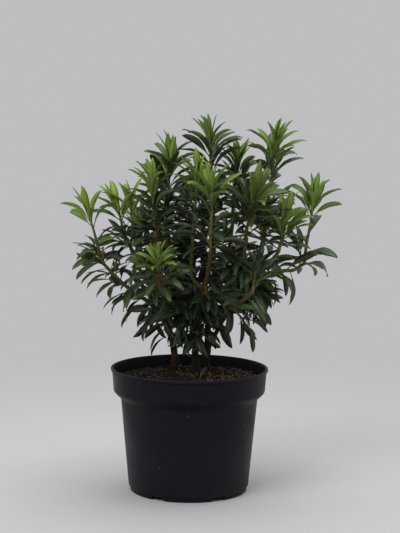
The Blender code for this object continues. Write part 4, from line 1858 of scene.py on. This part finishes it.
    def points_of(self, leaves: list[Leaf]) -> Object:
        """Make a mesh of points that carry each leaf's rotation, size and shape.

        Args:
            leaves: The leaves.

        Returns:
            The mesh's object.
        """
        mesh = bpy.data.meshes.new("leaf_points")
        mesh.from_pydata([tuple(leaf.base) for leaf in leaves], [], [])
        aims, sizes, shapes = [], [], []
        for leaf in leaves:
            across = leaf.top.cross(leaf.aim)
            turn = Matrix((leaf.aim, across, leaf.top)).transposed()
            aims += list(turn.to_euler("XYZ"))
            sizes += [leaf.length, leaf.width, leaf.length]
            nearest = min(range(len(BENDS)), key=lambda i: abs(BENDS[i] - leaf.bend))
            shapes.append(nearest * len(FORMS) + self.chance.randrange(len(FORMS)))
        for name, kind, store, values in (
                ("aim", "FLOAT_VECTOR", "vector", aims), ("size", "FLOAT_VECTOR", "vector", sizes),
                ("shape", "INT", "value", shapes)):
            mesh.attributes.new(name, kind, "POINT").data.foreach_set(store, values)
        return mesh_object("leaf_points", mesh)

    def build_leaves(self) -> None:
        """Turn the leaves into one piece for each tone."""
        tree, shapes = leaf_tree(), self.shapes()
        self.reseed("leaf forms")
        for tone in Tone:
            leaves = [leaf for leaf in self.leaves if leaf.tone is tone]
            upper, rib, under = tone.value.make()
            mesh = settle(self.points_of(leaves), tree, {
                "Shapes": shapes, "Upper": upper, "Rib": rib, "Under": under})
            piece = mesh_object(tone.value.label, mesh)
            log.info("%s: %d leaves", piece.name, len(leaves))
            finish_piece(piece, tone.slot, *([] if tone is Tone.DRY else self.nodes))

    def build_twigs(self) -> None:
        """Turn the twigs into one piece."""
        verts, edges, girths = [], [], []
        for points, radii in self.twigs:
            first = len(verts)
            verts += [tuple(point) for point in points]
            girths += radii
            edges += [(first + i, first + i + 1) for i in range(len(points) - 1)]
        mesh = bpy.data.meshes.new("twig_lines")
        mesh.from_pydata(verts, edges, [])
        mesh.attributes.new("girth", "FLOAT", "POINT").data.foreach_set("value", girths)
        made = settle(mesh_object("twig_lines", mesh), twig_tree(), {
            "Sides": self.twig_sides, "Bark": TWIG_BARK.make()})
        finish_piece(mesh_object("green_twigs", made), "green_stem", *self.nodes)


# ------------------------------------------------------------------ studio


@dataclass(frozen=True)
class Studio:
    """Plain pale floor, soft light and the camera. Lengths are in metres, angles in radians.

    focal_pixels is the camera's focal length in pixels of a picture picture_height tall.
    Each lamp is (name, place, target, size, power).
    """

    camera_place: Place = (0.0113, -1.8, 0.4698)
    pitch: float = 0.1092
    roll: float = 0.0110
    focal_pixels: float = 1504.5
    picture_height: float = 533.0
    sensor: float = 36.0
    floor_size: float = 12.0
    fade: Pair = (0.22, 0.95)
    floor_tones: tuple = ((0.3, (0.615, 0.610, 0.615)), (0.7, (0.64, 0.635, 0.64)))
    backdrop: Colour = (0.515, 0.515, 0.530)
    lamps: tuple = (
        ("key", (-0.9, -1.3, 1.9), (0.0, 0.0, 0.28), 1.1, 17.0),
        ("top", (0.25, 0.30, 1.7), (0.0, 0.0, 0.25), 1.3, 12.0),
    )

    def build(self) -> None:
        """Set up the floor, the world, the lamps and the camera."""
        self.build_floor()
        world = bpy.data.worlds.new("soft_room")
        world.use_nodes = True
        world.node_tree.nodes["Background"].inputs["Color"].default_value = (*self.backdrop, 1.0)
        bpy.context.scene.world = world
        for lamp in self.lamps:
            self.build_lamp(*lamp)
        self.build_camera()
        bpy.context.scene.view_settings.view_transform = "Standard"

    def build_floor(self) -> None:
        """Lay the floor as a plain pale sheet that fades into the backdrop."""
        half = self.floor_size / 2
        corners = [(-half, -half, 0), (half, -half, 0), (half, half, 0), (-half, half, 0)]
        mesh = smooth_mesh("floor", corners, [(0, 1, 2, 3)], closed=False)
        maker = MaterialMaker("pale_floor", (0.62, 0.615, 0.62), 0.8, 0.2)
        maker.drive("Base Color", maker.ramp(maker.speckle(9.0, 4.0), *self.floor_tones))
        away = maker.add("ShaderNodeVectorMath", {"Vector": maker.place()}, operation="LENGTH")
        clear = maker.add("ShaderNodeBsdfTransparent").outputs[0]
        blend = maker.add("ShaderNodeMixShader", {
            "Fac": maker.span(away.outputs["Value"], *self.fade),
            1: maker.shader.outputs[0], 2: clear}).outputs[0]
        maker.tree.links.new(blend, maker.tree.nodes["Material Output"].inputs["Surface"])
        mesh.materials.append(maker.material)
        mesh_object("floor", mesh)

    def build_lamp(self, name: str, place: Place, target: Place, size: float,
                   power: float) -> None:
        """Hang a soft square lamp that faces a target.

        Args:
            name: Its name.
            place: Where it hangs.
            target: What it faces.
            size: Its width.
            power: Its power in watts.
        """
        data = bpy.data.lights.new(name, "AREA")
        data.size = size
        data.energy = power
        made = bpy.data.objects.new(name, data)
        made.location = place
        made.rotation_euler = (Vector(target) - Vector(place)).to_track_quat("-Z", "Y").to_euler()
        bpy.context.scene.collection.objects.link(made)

    def build_camera(self) -> None:
        """Set the camera: it looks along +Y, a little down, and is turned a little."""
        data = bpy.data.cameras.new("camera")
        data.sensor_width = self.sensor
        data.lens = self.focal_pixels / self.picture_height * self.sensor
        made = bpy.data.objects.new("camera", data)
        forward = Vector((0.0, math.cos(self.pitch), -math.sin(self.pitch)))
        level = Vector((1.0, 0.0, 0.0))
        upward = level.cross(forward)
        right = level * math.cos(self.roll) + upward * math.sin(self.roll)
        upward = upward * math.cos(self.roll) - level * math.sin(self.roll)
        turn = Matrix((right, upward, -forward)).transposed().to_4x4()
        made.matrix_world = Matrix.Translation(self.camera_place) @ turn
        bpy.context.scene.collection.objects.link(made)
        bpy.context.scene.camera = made


def main() -> None:
    """Build the studio, the pot, the soil, the limbs and the crown."""
    logging.basicConfig(level=logging.INFO, format="%(name)s: %(message)s")
    Studio().build()
    pot = Pot()
    pot.build()
    soil = Soil(pot)
    soil.build()
    limbs = LimbSystem()
    limbs.place()
    limbs.build()
    crown = Crown(limbs)
    crown.grow()
    crown.leaves += soil.drop_leaves()
    crown.build_leaves()
    crown.build_twigs()


if __name__ == "__main__":
    main()
